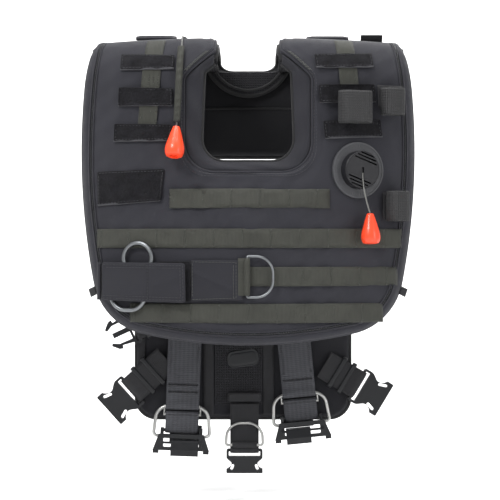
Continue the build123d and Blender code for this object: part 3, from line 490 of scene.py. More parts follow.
def finish_mesh(name, verts, faces, cloth, body, finish, under=None, under_from=None):
    """A mesh object with its cloth coordinates, material and body."""
    slot, material = finish
    data = bpy.data.meshes.new(name)
    data.from_pydata([tuple(v) for v in verts], [], [tuple(f) for f in faces])
    data.materials.append(material)
    attribute = data.attributes.new("cloth", "FLOAT_VECTOR", "POINT")
    attribute.data.foreach_set("vector", np.asarray(cloth, np.float32).ravel())
    if under is not None:
        data.materials.append(under)
        for polygon in data.polygons:
            polygon.material_index = int(min(polygon.vertices) >= under_from)
    tidy = bmesh.new()
    tidy.from_mesh(data)
    bmesh.ops.remove_doubles(tidy, verts=tidy.verts, dist=2e-6)
    bmesh.ops.dissolve_degenerate(tidy, edges=tidy.edges, dist=1e-6)
    bmesh.ops.recalc_face_normals(tidy, faces=tidy.faces)
    for face in tidy.faces:
        face.smooth = True
    tidy.to_mesh(data)
    tidy.free()
    piece = link(name, data)
    if body:
        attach(piece, body)
    return piece


def panel(
    name, surface, outline, layer, body, finish, edge=0.0008, step=0.004,
    relief=no_relief, open_edge=None, under=None, tilt=0.0,
):
    """A closed cloth panel on a surface, its rim rounded over the width edge."""
    border = densify(list(outline), step)
    low, high = np.min(border, 0), np.max(border, 0)
    xs = np.arange(low[0] + step / 2, high[0], step)
    ys = np.arange(low[1] + step / 2, high[1], step * 0.87)
    grid = np.array([(x + (j % 2) * step / 2, y) for j, y in enumerate(ys) for x in xs])
    segments = list(zip(border, border[1:] + border[:1]))
    keep = inside(grid, border) & (edge_distance(grid, segments) > step * 0.45)
    rows = []
    for inset in (0.25, 0.6):
        if edge > step * 0.3:
            rows += [p for p in shrink(border, edge * inset)]
    points = border + [tuple(p) for p in rows] + [tuple(p) for p in grid[keep]]
    edges = [(i, (i + 1) % len(border)) for i in range(len(border))]
    solved = geometry.delaunay_2d_cdt([Vector(p) for p in points], edges, [], 0, 1e-7)
    flat = np.array([tuple(p) for p in solved[0]])
    triangles = [t for t in solved[2] if len(t) == 3]
    middles = np.array([flat[list(t)].mean(0) for t in triangles])
    triangles = [t for t, held in zip(triangles, inside(middles, border)) if held]
    used = sorted({i for t in triangles for i in t})
    rename = {old: new for new, old in enumerate(used)}
    flat = flat[used]
    triangles = [tuple(rename[i] for i in t) for t in triangles]
    free = [s for s in segments if not (open_edge and open_edge(s))]
    distance = edge_distance(flat, free)
    share = np.clip(distance / edge, 0, 1)
    profile = np.sqrt(np.maximum(1 - (1 - share) ** 2, 0))
    middle = (layer[0] + layer[1]) / 2
    x, s = flat[:, 0], flat[:, 1]
    lift = relief(x, s, distance) * np.minimum(1, distance / max(edge, 0.003))
    half = (layer[1] - layer[0]) / 2
    top = surface(x, s, middle + half * profile + lift)
    bottom = surface(x, s, middle - half * profile + lift * tilt)
    count = len(flat)
    sides = {}
    for t in triangles:
        for a, b in ((t[0], t[1]), (t[1], t[2]), (t[2], t[0])):
            sides[(a, b)] = sides.get((a, b), 0) + 1
    rim = [(a, b) for (a, b) in sides if (b, a) not in sides]
    faces = triangles + [tuple(i + count for i in reversed(t)) for t in triangles]
    faces += [(b, a, a + count, b + count) for a, b in rim]
    cloth = np.column_stack([x, s, 0 * x])
    return finish_mesh(
        name, np.vstack([top, bottom]), faces, np.vstack([cloth, cloth]), body, finish,
        under, count,
    )


def shrink(loop, inset):
    """Points drawn in from a closed loop by the inset, those that would cross left out."""
    p = np.array(loop)
    ahead = np.roll(p, -1, 0) - p
    behind = p - np.roll(p, 1, 0)
    along = ahead + behind
    normal = unit(np.column_stack([-along[:, 1], along[:, 0]]))
    turn = np.sum(p[:, 0] * np.roll(p[:, 1], -1) - np.roll(p[:, 0], -1) * p[:, 1])
    moved = p + normal * inset * (1 if turn > 0 else -1)
    segments = list(zip(loop, loop[1:] + loop[:1]))
    good = inside(moved, loop) & (edge_distance(moved, segments) > inset * 0.9)
    return [tuple(q) for q in moved[good]]


def direction(p, closed):
    """Which way a path runs at each of its points, not scaled to length one."""
    return np.roll(p, -1, 0) - np.roll(p, 1, 0) if closed else np.gradient(p, axis=0)


def inward(loop, closed=True):
    """Unit vectors in the surface that point to the left of the path."""
    along = direction(np.array(loop), closed)
    return unit(np.column_stack([-along[:, 1], along[:, 0]]))


def swept_faces(wide, long, closed=False):
    """Faces of a section of so many points swept through so many places, with ends if it is open."""
    faces = []
    for i in range(long if closed else long - 1):
        for k in range(wide):
            b, m = (i + 1) % long, (k + 1) % wide
            faces.append((k * long + i, k * long + b, m * long + b, m * long + i))
    if not closed:
        faces.append([k * long for k in range(wide)])
        faces.append([k * long + long - 1 for k in reversed(range(wide))])
    return faces


def edging(name, surface, path, section, body, finish, closed=False, ripple=None, lift=no_relief):
    """A section of (inset, depth) points swept along a path on a surface; inset is to the left."""
    p = np.array(path)
    side = inward(path, closed)
    run = run_along(p)
    rings, cloth = [], []
    for k, (inset, depth) in enumerate(section):
        q = p + side * inset
        d = depth + lift(q[:, 0], q[:, 1], 0 * run + 1)
        if ripple:
            d = d + ripple(run)
        rings.append(surface(q[:, 0], q[:, 1], d))
        cloth.append(np.column_stack([0 * run + 0.002 * k, run, 0 * run]))
    faces = swept_faces(len(section), len(p), closed)
    return finish_mesh(name, np.vstack(rings), faces, np.vstack(cloth), body, finish)


def bead(inset, depth, radius, sides=10):
    """A round section for a piping or cord."""
    turns = [2 * PI * k / sides for k in range(sides)]
    return [(inset + radius * math.cos(t), depth + radius * math.sin(t)) for t in turns]


def tubes(name, lines, radius, body, finish, sides=5):
    """Thin round threads along polylines in space, all in one mesh."""
    verts, faces, cloth = [], [], []
    for line in lines:
        p = np.array(line, float)
        along = unit(np.gradient(p, axis=0))
        helper = np.where(np.abs(along[:, 1:2]) < 0.8, [[0.0, 1.0, 0.0]], [[1.0, 0.0, 0.0]])
        a = unit(np.cross(along, helper))
        b = np.cross(along, a)
        base = len(verts)
        for i in range(len(p)):
            for k in range(sides):
                t = 2 * PI * k / sides
                verts.append(p[i] + radius * (a[i] * math.cos(t) + b[i] * math.sin(t)))
                cloth.append((0.0005 * k, 0.001 * i, 0))
        for i in range(len(p) - 1):
            for k in range(sides):
                m = (k + 1) % sides
                q = base + i * sides
                faces.append((q + k, q + m, q + sides + m, q + sides + k))
        faces.append([base + k for k in reversed(range(sides))])
        faces.append([len(verts) - sides + k for k in range(sides)])
    return finish_mesh(name, verts, faces, cloth, body, finish)


def stitches(surface, path, depth, length=0.0028, gap=0.0016, lift=no_relief):
    """Short threads along a path on a surface, each arched over the cloth."""
    p = np.array(densify(list(path), 0.0005, closed=False))
    run = run_along(p)
    result = []
    for start in np.arange(0, run[-1] - length, length + gap):
        at = start + length * np.array([0, 0.5, 1])
        x, s = np.interp(at, run, p[:, 0]), np.interp(at, run, p[:, 1])
        d = depth + np.array([-0.0002, 0.0002, -0.0002]) + lift(x, s, 0 * x + 1)
        result.append(surface(x, s, d))
    return result


def bar_tack(surface, x, low, high, depth, width=0.0022, count=11, lift=no_relief):
    """A close zigzag of thread across webbing."""
    s = np.linspace(low, high, count * 2)
    xs = x + width / 2 * np.where(np.arange(count * 2) % 2, 1, -1)
    return surface(xs, s, depth + lift(xs, s, 0 * s + 1))


def ribbon(name, path, across, width, thick, body, finish, closed=False, crown=0.0, columns=9):
    """Webbing of a real thickness along a path in space; across is its width direction."""
    p = np.array(path, float)
    side = np.array(across, float)
    side /= np.linalg.norm(side)
    along = unit(direction(p, closed))
    out = np.cross(along, side)
    run = run_along(p)
    section = []
    for k in range(columns):
        u = -1 + 2 * k / (columns - 1)
        section.append((u, 1 - 0.55 * abs(u) ** 9))
    section += [(u, -v) for u, v in reversed(section)]
    rings, cloth = [], []
    for u, v in section:
        rings.append(p + side * (u * width / 2) + out * (v * thick / 2 + crown * (1 - u * u)))
        cloth.append(np.column_stack([0 * run + u * width / 2, run, 0 * run]))
    faces = swept_faces(len(section), len(p), closed)
    return finish_mesh(name, np.vstack(rings), faces, np.vstack(cloth), body, finish)


def smooth_path(points, rounds=3):
    """Corner cutting that keeps the two ends."""
    p = [np.array(q, float) for q in points]
    for _ in range(rounds):
        cut = [p[0]]
        for a, b in zip(p, p[1:]):
            cut += [a * 0.75 + b * 0.25, a * 0.25 + b * 0.75]
        p = cut + [p[-1]]
    return p


# ---- Front panel --------------------------------------------------------------------------

VALVE_X, VALVE_Z = 0.144, -0.179
PALS_HEIGHT = 0.0254
TACK_PITCH = 0.0375
PALS_ROWS = (
    (-0.103, 0.107, -0.204), (-0.201, 0.205, -0.256), (-0.197, 0.199, -0.306), (-0.156, 0.179, -0.354),
)
ROOM_FOR_FLAPS = (-0.215, 0.045, -0.362, -0.285)
COVER_DEPTH = 0.0230
ZIP_INSET = 0.0140
DRAPE_DEPTH = 1.7
# Depths from the skin: webbing and pile sewn on the cover, pile on webbing, a cord sleeve, bar-tacks.
WEBBING_LAYER = (0.0233, 0.0248)
PATCH_LAYER = (0.0233, 0.0253)
PILE_LAYER = (0.0251, 0.0270)
SLEEVE_LAYER = (0.0233, 0.0318)
TACK_DEPTH = 0.0249
RIM_WIDTH = 0.0105
SHELL_STEP = 0.0042
# Where the outer edge of a shoulder meets the fold seam.
SHOULDER_END = 0.2093


def calm(x, s, relief):
    """Relief faded out under the valve and the closure, where flat things lie on the cloth."""
    near_valve = np.hypot(x - VALVE_X, s - VALVE_Z)
    fade = np.clip((near_valve - 0.040) / 0.025, 0, 1)
    x_low, x_high, s_low, s_high = ROOM_FOR_FLAPS
    outside = np.maximum.reduce([x_low - x, x - x_high, s_low - s, s - s_high, 0 * x])
    fade = fade * np.clip(outside / 0.02, 0, 1)
    return np.where(relief > 0, relief * fade, relief * np.clip(fade, 0.2, 1))


def drape(x, s, distance):
    """Soft folds and creases of the front, shared by everything sewn on it."""
    broad = 0.0016 * np.sin(21 * x + 1.3 * np.sin(17 * s)) * np.sin(26 * s + 0.8)
    slanted = 0.0009 * np.sin(
        70 * x + 48 * s + 1.7 * np.sin(23 * s)
    ) * np.clip(1.2 - 9 * abs(x + 0.02), 0.25, 1)
    drag = 0.0011 * np.sin(95 * (abs(x) - 0.6 * s)) * np.exp(
        -((abs(x) - 0.1) ** 2 + (s + 0.19) ** 2) / 0.0016
    )
    cockle = 0.0005 * np.sin(210 * x - 90 * s) * np.sin(130 * s + 40 * x)
    return calm(x, s, DRAPE_DEPTH * (broad + slanted + drag + cockle)) * np.clip((-s + 0.01) / 0.05, 0, 1)


def cover_relief(x, s, distance):
    """The cover itself: the drape, puckers along the sewn webbing and the pull of the zip seam."""
    lift = drape(x, s, distance)
    for x_low, x_high, top in PALS_ROWS:
        for line in (top, top - PALS_HEIGHT):
            near = np.exp(-((s - line) / 0.0035) ** 2) * (x > x_low - 0.004) * (x < x_high + 0.004)
            lift = lift - 0.0007 * near * (1 + 0.4 * np.cos(2 * PI * (x - x_low) / TACK_PITCH))
    groove = np.exp(-((distance - ZIP_INSET) / 0.0040) ** 2)
    return lift - 0.0012 * groove


def shoulder_side(sign):
    """The outer edge of a shoulder, from the armhole up to the fold seam."""
    side = arc((0.207, -0.325), (0.224, -0.160), (0.209, 0.010), 26)
    up = [(x, front_s(z)) for x, z in side if z < -0.008]
    up.append((SHOULDER_END, front_seam(SHOULDER_END)))
    return [(sign * x, s) for x, s in up]


NECK_HALF, NECK_BOTTOM, NECK_SHOULDER = 0.082, -0.180, -0.058
COLLAR_HALF = 0.041


def neck_path(grow=0.0):
    """The neckline from the left fold seam, down, across and up to the right fold seam."""
    half, bottom = NECK_HALF + grow, NECK_BOTTOM - grow
    corners = [
        (-COLLAR_HALF - grow, front_seam(COLLAR_HALF + grow)),
        (-COLLAR_HALF - grow, front_s(-0.020)),
        (-half, front_s(NECK_SHOULDER + grow * 0.4)),
        (-half, bottom),
        (half, bottom),
        (half, front_s(NECK_SHOULDER + grow * 0.4)),
        (COLLAR_HALF + grow, front_s(-0.020)),
        (COLLAR_HALF + grow, front_seam(COLLAR_HALF + grow)),
    ]
    return rounded(corners, (0, 0.010, 0.014, 0.038, 0.038, 0.014, 0.010, 0), closed=False, count=10)


def seam_line(x_from, x_to, seam, count=24):
    return [(x, seam(abs(x))) for x in np.linspace(x_from, x_to, count)]


left_side = shoulder_side(-1)
right_side = shoulder_side(1)
hem = arc((-0.137, -0.3945), (0, -0.408), (0.137, -0.3945), 30)
left_corner = arc((-0.207, -0.325), (-0.182, -0.372), (-0.137, -0.3945), 12)
right_corner = arc((0.137, -0.3945), (0.182, -0.372), (0.207, -0.325), 12)
outer_path = left_side[::-1][:-1] + left_corner + hem + right_corner + right_side
neck = neck_path()
front_outline = (
    outer_path
    + seam_line(SHOULDER_END, COLLAR_HALF, front_seam)[1:-1]
    + neck[::-1]
    + seam_line(-COLLAR_HALF, -SHOULDER_END, front_seam)[1:-1]
)


def on_front_seam(segment):
    return all(abs(s - front_seam(abs(x))) < 0.0005 for x, s in segment)


def bend(piece):
    """Fabric that lies over the shoulder fold: left with no body, its place baked into its mesh."""
    piece.parent = None
    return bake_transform(piece)


front_shell = panel(
    "front_shell", front_skin, front_outline, (0.0004, COVER_DEPTH), None, look("cordura"), edge=RIM_WIDTH,
    relief=cover_relief, open_edge=on_front_seam, under=CLOTH["lining"], step=SHELL_STEP,
)
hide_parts("front_cover", "side_gusset", "front_lining", "air_cell")
bend(front_shell)

outer_line = densify(outer_path, 0.004, closed=False)
bend(edging("edge_piping", front_skin, outer_line, bead(0.0022, 0.0118, 0.0030), None, look("cordura")))

zip_line = densify(outer_path, 0.0008, closed=False)
zip_teeth = edging(
    "zip_teeth", front_skin, zip_line, bead(ZIP_INSET, 0.0228, 0.0013, 8), None, look("black_plastic"),
    ripple=lambda run: 0.00045 * np.sin(2 * PI * run / 0.0032), lift=drape,
)
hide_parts("zip_chain")
bend(zip_teeth)
for label, inset in (("outer", ZIP_INSET - 0.0026), ("inner", ZIP_INSET + 0.0026)):
    bend(
        edging(
            f"zip_lip_{label}", front_skin, outer_line, bead(inset, 0.0229, 0.0013, 8), None, look("cordura"),
            lift=drape,
        )
    )

# The sloping facing inside the neck, lofted from the neckline down to the lining.
facing_outer = densify(
    rounded(
        [
            (-0.045, front_s(-0.024)), (-0.083, -0.058), (-0.083, -0.181), (0.083, -0.181), (0.083, -0.058),
            (0.045, front_s(-0.024)),
        ],
        (0, 0.010, 0.038, 0.038, 0.010, 0), closed=False, count=12,
    ),
    0.004, closed=False,
)
facing_inner = rounded(
    [
        (-0.044, front_s(-0.030)), (-0.057, -0.046), (-0.062, -0.168), (0.062, -0.168), (0.057, -0.046),
        (0.044, front_s(-0.030)),
    ],
    (0, 0.008, 0.030, 0.030, 0.008, 0), closed=False, count=12,
)


def resampled(points, count):
    p = np.array(points)
    run = run_along(p)
    at = np.linspace(0, run[-1], count)
    return np.column_stack([np.interp(at, run, p[:, 0]), np.interp(at, run, p[:, 1])])


def loft(name, surface, first, last, depths, bulge, thick, columns, body, finish, count=110):
    """Cloth between two paths on a surface, bulging between them, with a thickness."""
    a, b = resampled(first, count), resampled(last, count)
    rings, cloth = [], []
    for face in (1, -1):
        order = range(columns) if face > 0 else reversed(range(columns))
        for k in order:
            t = k / (columns - 1)
            q = a + (b - a) * t
            wave = 0.0016 * np.sin(90 * q[:, 0] + 120 * q[:, 1] + 2 * t) * math.sin(PI * t)
            d = depths[0] + (depths[1] - depths[0]) * t + bulge * math.sin(PI * t) + wave
            rings.append(
                surface(q[:, 0], q[:, 1], d + face * thick / 2 * (0.2 + 0.8 * math.sin(PI * (0.1 + 0.8 * t))))
            )
            cloth.append(np.column_stack([q, 0 * q[:, 0]]))
    faces = swept_faces(2 * columns, count)
    return finish_mesh(name, np.vstack(rings), faces, np.vstack(cloth), body, finish)


neck_facing = loft(
    "neck_facing_cloth", front_skin, facing_outer, facing_inner, (0.0165, 0.0040), 0.0028, 0.0040, 9, "front",
    look("cordura", "flap_cordura"),
)
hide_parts("neck_facing")
edging(
    "neck_facing_piping", front_skin, densify(facing_inner, 0.004, closed=False), bead(0, 0.0040, 0.0022),
    "front", look("black_webbing", "binding"),
)
bend(
    edging(
        "neck_seam_piping", front_skin, densify(neck, 0.004, closed=False), bead(-0.0022, 0.0190, 0.0016, 8),
        None, look("cordura"),
    )
)


# ---- Webbing, loop strips and patches on the front ----------------------------------------


def rectangle(x_low, x_high, s_low, s_high):
    return [(x_low, s_low), (x_high, s_low), (x_high, s_high), (x_low, s_high)]


def row_relief(x_low):
    """Webbing pinned at its tacks and standing a little proud between them."""

    def relief(x, s, distance):
        bay = np.abs(np.sin(PI * (x - x_low) / TACK_PITCH))
        return drape(x, s, distance) + 0.0011 * bay**0.7

    return relief


tacks = []
for number, (x_low, x_high, top) in enumerate(PALS_ROWS, 1):
    start = x_low + 0.006
    row = panel(
        f"pals_row_{number}", front_skin, rectangle(x_low, x_high, top - PALS_HEIGHT, top), WEBBING_LAYER,
        "front", look("olive_webbing"), edge=0.0007, step=0.0036, relief=row_relief(start),
    )
    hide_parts("pals_rows")
    for x in np.arange(start, x_high - 0.003, TACK_PITCH):
        tacks.append(
            bar_tack(front_skin, x, top - PALS_HEIGHT + 0.0012, top - 0.0012, TACK_DEPTH, lift=drape)
        )


def sloped_strip(corners):
    return [(x * MM, front_s(z * MM)) for x, z in corners]


LADDER_TOP, LADDER_END = -6, -128
LADDER_TACKS = (-58, -64, -103, -109, -124)
LADDERS = (
    ((-134, LADDER_TOP), (-109, LADDER_TOP), (-121, LADDER_END), (-146, LADDER_END)),
    ((114, LADDER_TOP), (139, LADDER_TOP), (151, LADDER_END), (126, LADDER_END)),
)
for number, corners in enumerate(LADDERS, 1):
    ladder = panel(
        f"ladder_webbing_{number}", front_skin, sloped_strip(corners), WEBBING_LAYER, "front",
        look("olive_webbing"), edge=0.0007, step=0.0034, relief=drape,
    )
    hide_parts("cover_webbing")
    (x_top, _), _, _, (x_end, _) = corners
    for z in LADDER_TACKS:
        t = (z - LADDER_TOP) / (LADDER_END - LADDER_TOP)
        x = (x_top + (x_end - x_top) * t) * MM
        for side in np.arange(0.003, 0.024, 0.0062):
            s = front_s(z * MM)
            tacks.append(
                bar_tack(front_skin, x + side, s - 0.0016, s + 0.0016, TACK_DEPTH, 0.0016, 4, lift=drape)
            )

LOOP_STRIPS = (
    ((-168, -26), (-96, -30), (-97, -48), (-169, -46)),
    ((-171, -69), (-98, -73), (-99, -95), (-172, -93)),
    ((-177, -117), (-99.5, -120), (-100.5, -141), (-178, -140)),
    ((87, -29), (164, -25), (166, -43), (89, -46)),
    ((92, -68), (167, -65), (169, -88), (94, -91)),
    ((98, -115), (175, -111), (178, -134), (101, -138)),
)
ID_PATCH = ((-201, -180), (-109, -178), (-115, -219), (-200, -225))
LOOP_BACKING = ((171, -66), (208, -65.5), (208.5, -95), (172.5, -97))


def tufted(x, s, distance):
    """Matted pile: a fine uneven nap over the drape."""
    nap = 0.00022 * np.sin(2100 * x + 3 * np.sin(900 * s)) * np.sin(1900 * s + 2.5 * np.sin(1100 * x))
    return drape(x, s, distance) + nap


threads, pile_threads = [], []
for number, corners in enumerate((*LOOP_STRIPS, ID_PATCH), 1):
    strip = sloped_strip(corners)
    on_webbing = number <= len(LOOP_STRIPS)
    layer = PILE_LAYER if on_webbing else PATCH_LAYER
    pile = panel(
        f"loop_pile_{number}", front_skin, rounded(strip, 0.0015, count=3), layer, "front", look("loop_pile"),
        edge=0.0011, step=0.0021, relief=tufted,
    )
    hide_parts("loop_strips" if on_webbing else "id_patch")
    edging(
        f"loop_selvage_{number}", front_skin, densify([strip[3], strip[2]], 0.003, closed=False),
        bead(0.0004, layer[1] - 0.0008, 0.0013, 8), "front", look("loop_pile", "selvage"), lift=drape,
    )
    inner = shrink(densify(strip, 0.003), 0.0022)
    pile_threads += stitches(front_skin, inner + inner[:1], layer[1] + 0.0002, lift=drape)

panel(
    "loop_backing_1", front_skin, sloped_strip(LOOP_BACKING), (0.0251, 0.0268), "front",
    look("black_webbing"), edge=0.0008, step=0.0036, relief=drape,
)
panel(
    "hose_backing_low", front_skin, rectangle(0.1785, 0.2065, -0.2445, -0.2075), (0.0251, 0.0262), "front",
    look("black_webbing"), edge=0.0008, relief=no_relief,
)
TAB_CORNERS = ((-0.0058, -0.003), (0.003, -0.0075), (0.0068, 0.0035), (-0.002, 0.0075))
for sign in (-1, 1):
    x, s = sign * 0.2075, -0.340
    panel(
        f"edge_tab_{'left' if sign < 0 else 'right'}", front_skin,
        [(x + sign * a, s + b) for a, b in TAB_CORNERS], (0.0150, 0.0180), "front", look("black_webbing"),
        step=0.002,
    )

# Topstitching round the neckline, then two rows along each slanting seam up to the shoulder.
for grow in (0.0045, 0.0075):
    threads += stitches(
        front_skin, neck_path(grow)[3:-3], 0.0225, lift=lambda x, s, d: cover_relief(x, s, 1 + 0 * x),
    )
tubes("seam_stitching", threads, 0.00028, "front", look("cordura", "dark_thread"))
tubes("strip_stitching", pile_threads, 0.00030, "front", look("loop_pile", "selvage"))
slanted = []
for sign in (-1, 1):
    for gap in (0.0030, 0.0062):
        line = [
            (sign * (0.050 + gap * 0.75), front_s(-0.0235)), (sign * (0.0815 + gap * 0.75), front_s(-0.052)),
        ]
        slanted += stitches(front_skin, line, 0.0236, length=0.0034, gap=0.0012)
tubes("slanted_seam_stitching", slanted, 0.00042, "front", look("cordura", "thread"))
tubes("webbing_tacks", tacks, 0.00034, "front", look("olive_webbing", "thread"), 4)


# ---- Elastic hose loops -------------------------------------------------------------------


def front_frame(x, z, depth):
    """Origin and the across, up and outward directions on the front skin."""
    y = FRONT_CENTRE - math.sqrt((FRONT_RADIUS + depth) ** 2 - x * x)
    outward = Vector((x, y - FRONT_CENTRE, 0)).normalized()
    return Vector((x, y, z)), Vector((-outward.y, outward.x, 0)), Vector((0, 0, 1)), outward


def turned(centre, a, b, radius, first, last, count):
    """Points on an arc round a centre, from one angle in degrees to another, in the plane of a and b."""
    turn = np.linspace(math.radians(first), math.radians(last), count)
    return [centre + a * (radius * math.cos(t)) + b * (radius * math.sin(t)) for t in turn]


HOSE_LOOPS = (
    (0.140, -0.097, 0.046, 0.042, 0.024, 0.0274),
    (0.191, -0.088, 0.034, 0.036, 0.020, 0.0274),
    (0.198, -0.226, 0.032, 0.040, 0.022, 0.0252),
)
for number, (x, z, width, height, depth, base) in enumerate(HOSE_LOOPS, 1):
    centre, across, up, outward = front_frame(x, z, base + depth / 2 + width**2 / 3.2)
    half, deep = width / 2 - 0.001, depth / 2 - 0.001
    oval = densify(rounded(rectangle(-half, half, -deep, deep), min(half, deep) * 0.93, count=9), 0.0009)
    path = [centre + across * a + outward * b for a, b in oval]
    rib = 0.00035
    run = np.cumsum([0] + [math.dist(a, b) for a, b in zip(path, path[1:])])
    path = [
        p + (p - centre).normalized() * rib * math.sin(2 * PI * r / 0.0030) for p, r in zip(path, run)
    ]
    loop = ribbon(
        f"hose_loop_{number}", path, up, height, 0.0018, "front", look("elastic"), closed=True, columns=13,
    )
    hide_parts("hose_loops")


# ---- Closure: flaps, hook strip and ring keepers ------------------------------------------

COVER_FLAP_LAYER, COVER_FLAP_FACE = (0.0353, 0.0376), 0.0377
PULL_FLAP_LAYER, PULL_FLAP_FACE = (0.0254, 0.0276), 0.0278
HOOK_STRIP = rectangle(-0.116, -0.075, -0.352, -0.299)
hook = panel(
    "hook_strip", front_skin, HOOK_STRIP, (0.0252, 0.0281), "front", look("loop_pile"), edge=0.001,
    step=0.0022, relief=lambda x, s, d: 0.00025 * np.sin(2300 * x) * np.sin(2100 * s),
)
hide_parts("closure_base")
panel(
    "flap_mount", front_skin, rectangle(-0.2005, -0.1945, -0.350, -0.3005), (0.0251, 0.0372), "front",
    look("cordura", "flap_cordura"), edge=0.002, step=0.002,
)


def flap_relief(x, s, distance):
    """A soft flap: a seam, a slanting crease and the give of doubled cloth."""
    seam = -0.0007 * np.exp(-((x + 0.130) / 0.0012) ** 2)
    crease = 0.0008 * np.exp(-((s + 0.322 - 0.35 * (x + 0.10)) / 0.006) ** 2) * (x > -0.125)
    give = 0.0007 * np.sin(48 * x + 1) * np.sin(75 * s) + 0.0003 * np.sin(160 * x + 120 * s)
    return seam + crease + give


cover_flap = panel(
    "cover_flap_cloth", front_skin,
    rounded(mm((-193.2, -350), (-81, -353), (-82, -301), (-193.2, -300)), 0.004, count=4), COVER_FLAP_LAYER,
    "cover_flap", look("cordura", "flap_cordura"), edge=0.0013, step=0.0026, relief=flap_relief,
)
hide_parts("cover_flap")
flap_threads = []
FLAP_CORNERS = mm((-191, -348), (-83.5, -350.5), (-84.2, -303.5), (-191, -302.5))
for inset in (0.0008, 0.0042):
    a, b, c, d = FLAP_CORNERS
    line = [
        (a[0], a[1] + inset), (b[0] - inset, b[1] + inset), (c[0] - inset, c[1] - inset),
        (d[0], d[1] - inset),
    ]
    flap_threads += stitches(front_skin, line, COVER_FLAP_FACE, lift=flap_relief)
flap_threads += stitches(
    front_skin, [(-0.1315, -0.348), (-0.1315, -0.303)], COVER_FLAP_FACE, lift=flap_relief,
)
tubes("cover_flap_stitching", flap_threads, 0.00026, "cover_flap", look("cordura", "dark_thread"))


def pull_relief(x, s, distance):
    fold = 0.0011 * np.exp(-(((s + 0.325) + 0.42 * (x + 0.045)) / 0.0035) ** 2) * (x < -0.02)
    return fold + 0.0005 * np.sin(90 * x) * np.sin(80 * s)


PULL_CORNERS = mm((-74.2, -351), (-7, -349), (-7, -297.5), (-74.2, -297))
pull_flap = panel(
    "pull_flap_cloth", front_skin, PULL_CORNERS, PULL_FLAP_LAYER, "pull_flap",
    look("cordura", "flap_cordura"), edge=0.0011, step=0.0026, relief=pull_relief,
)
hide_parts("pull_flap")
pull_threads = []
inset = [(-0.0725, -0.3485), (-0.0155, -0.3465), (-0.0155, -0.3000), (-0.0725, -0.2995)]
pull_threads += stitches(front_skin, inset + inset[:1], PULL_FLAP_FACE, lift=pull_relief)
pull_threads += stitches(front_skin, [(-0.019, -0.3465), (-0.019, -0.3000)], PULL_FLAP_FACE, lift=pull_relief)
tubes("pull_flap_stitching", pull_threads, 0.00026, "pull_flap", look("cordura", "thread"))

bar, bar_across, bar_up, bar_out = front_frame(-0.001, -0.319, 0.0292)
sleeve_path = turned(bar, bar_across, bar_out, 0.0031, 200, -60, 18)
tab_path = [
    bar - bar_across * 0.012 - bar_out * 0.0018, bar - bar_across * 0.0045 - bar_out * 0.0012,
] + sleeve_path
tab_path += [bar - bar_across * 0.004 - bar_out * 0.0030]
ribbon("pull_ring_tab", smooth_path(tab_path, 2), bar_up, 0.049, 0.0013, "pull_flap", look("olive_webbing"))

for label, (x, z), width in (("upper", (-0.145, -0.3152), 0.010), ("lower", (-0.158, -0.335), 0.010)):
    keeper, k_across, k_up, k_out = front_frame(x, z, 0.0298)
    path = turned(keeper, k_out, k_up, 0.0041, -80, 260, 22)
    ribbon(f"ring_keeper_{label}", path, k_across, width, 0.0011, "front", look("black_webbing"))


# ---- Yoke, collar and cord sleeves --------------------------------------------------------

YOKE_BOTTOM = -0.152


def yoke_side(sign):
    """From the fold seam round the shoulder and down to the bottom corner of the yoke."""
    corners = [
        (SHOULDER_END, back_seam(SHOULDER_END)),
        (SHOULDER_END, back_seam(SHOULDER_END, 0.004)),
        (0.158, back_seam(0.158, 0.052)),
        (0.156, -0.060),
        (0.122, YOKE_BOTTOM),
    ]
    return [(sign * x, s) for x, s in rounded(corners, (0, 0.004, 0.010, 0.012, 0), closed=False, count=6)]


def back_neck_path(grow=0.0):
    """The neckline of the back, from one side of the fold seam round to the other."""
    half, low = COLLAR_HALF + grow, back_s(-0.031) - grow
    corners = [(-half, back_seam(half)), (-half, low), (half, low), (half, back_seam(half))]
    return rounded(corners, (0, 0.020, 0.020, 0), closed=False, count=8)


left_yoke, right_yoke = yoke_side(-1), yoke_side(1)
yoke_neck = back_neck_path()
yoke_outline = (
    left_yoke[:-1]
    + rounded([left_yoke[-1], (-0.110, YOKE_BOTTOM), (0.110, YOKE_BOTTOM), right_yoke[-1]], 0, closed=False)
    + right_yoke[::-1][1:]
    + seam_line(SHOULDER_END, COLLAR_HALF, back_seam)[1:-1]
    + yoke_neck[::-1]
    + seam_line(-COLLAR_HALF, -SHOULDER_END, back_seam)[1:-1]
)


def on_back_seam(segment):
    return all(abs(s - back_seam(abs(x))) < 0.0005 for x, s in segment)


def yoke_relief(x, s, distance):
    """Soft padding under the yoke, with two quilting lines across the back."""
    broad = 0.0012 * np.sin(24 * x) * np.sin(30 * s + 0.5) + 0.0004 * np.sin(150 * x + 90 * s)
    quilt = sum(0.0018 * np.exp(-((s - line) / 0.003) ** 2) for line in (-0.065, -0.110))
    valve = np.clip((np.hypot(x + 0.108, s + 0.092) - 0.033) / 0.02, 0, 1)
    return (broad - quilt) * valve * np.clip((0.07 - s) / 0.05, 0, 1)


yoke_shell = panel(
    "yoke_shell", back_skin, yoke_outline, (0.0004, 0.0232), None, look("cordura"), edge=RIM_WIDTH,
    relief=yoke_relief, open_edge=on_back_seam, under=CLOTH["lining"], step=SHELL_STEP,
)
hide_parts("yoke_cover", "yoke_padding", "yoke_lining")
bend(yoke_shell)

yoke_rim = densify(left_yoke[:-1] + [left_yoke[-1]] + right_yoke[::-1], 0.004, closed=False)
for label, path in (("edge", yoke_rim), ("neck", densify(yoke_neck, 0.003, closed=False))):
    bend(
        edging(
            f"yoke_binding_{label}", back_skin, path, bead(-0.0002, 0.0118, 0.0031), None,
            look("black_webbing", "binding"),
        )
    )
bend(
    edging(
        "neck_binding", front_skin, densify(neck, 0.003, closed=False), bead(0.0002, 0.0118, 0.0028), None,
        look("black_webbing", "binding"),
    )
)

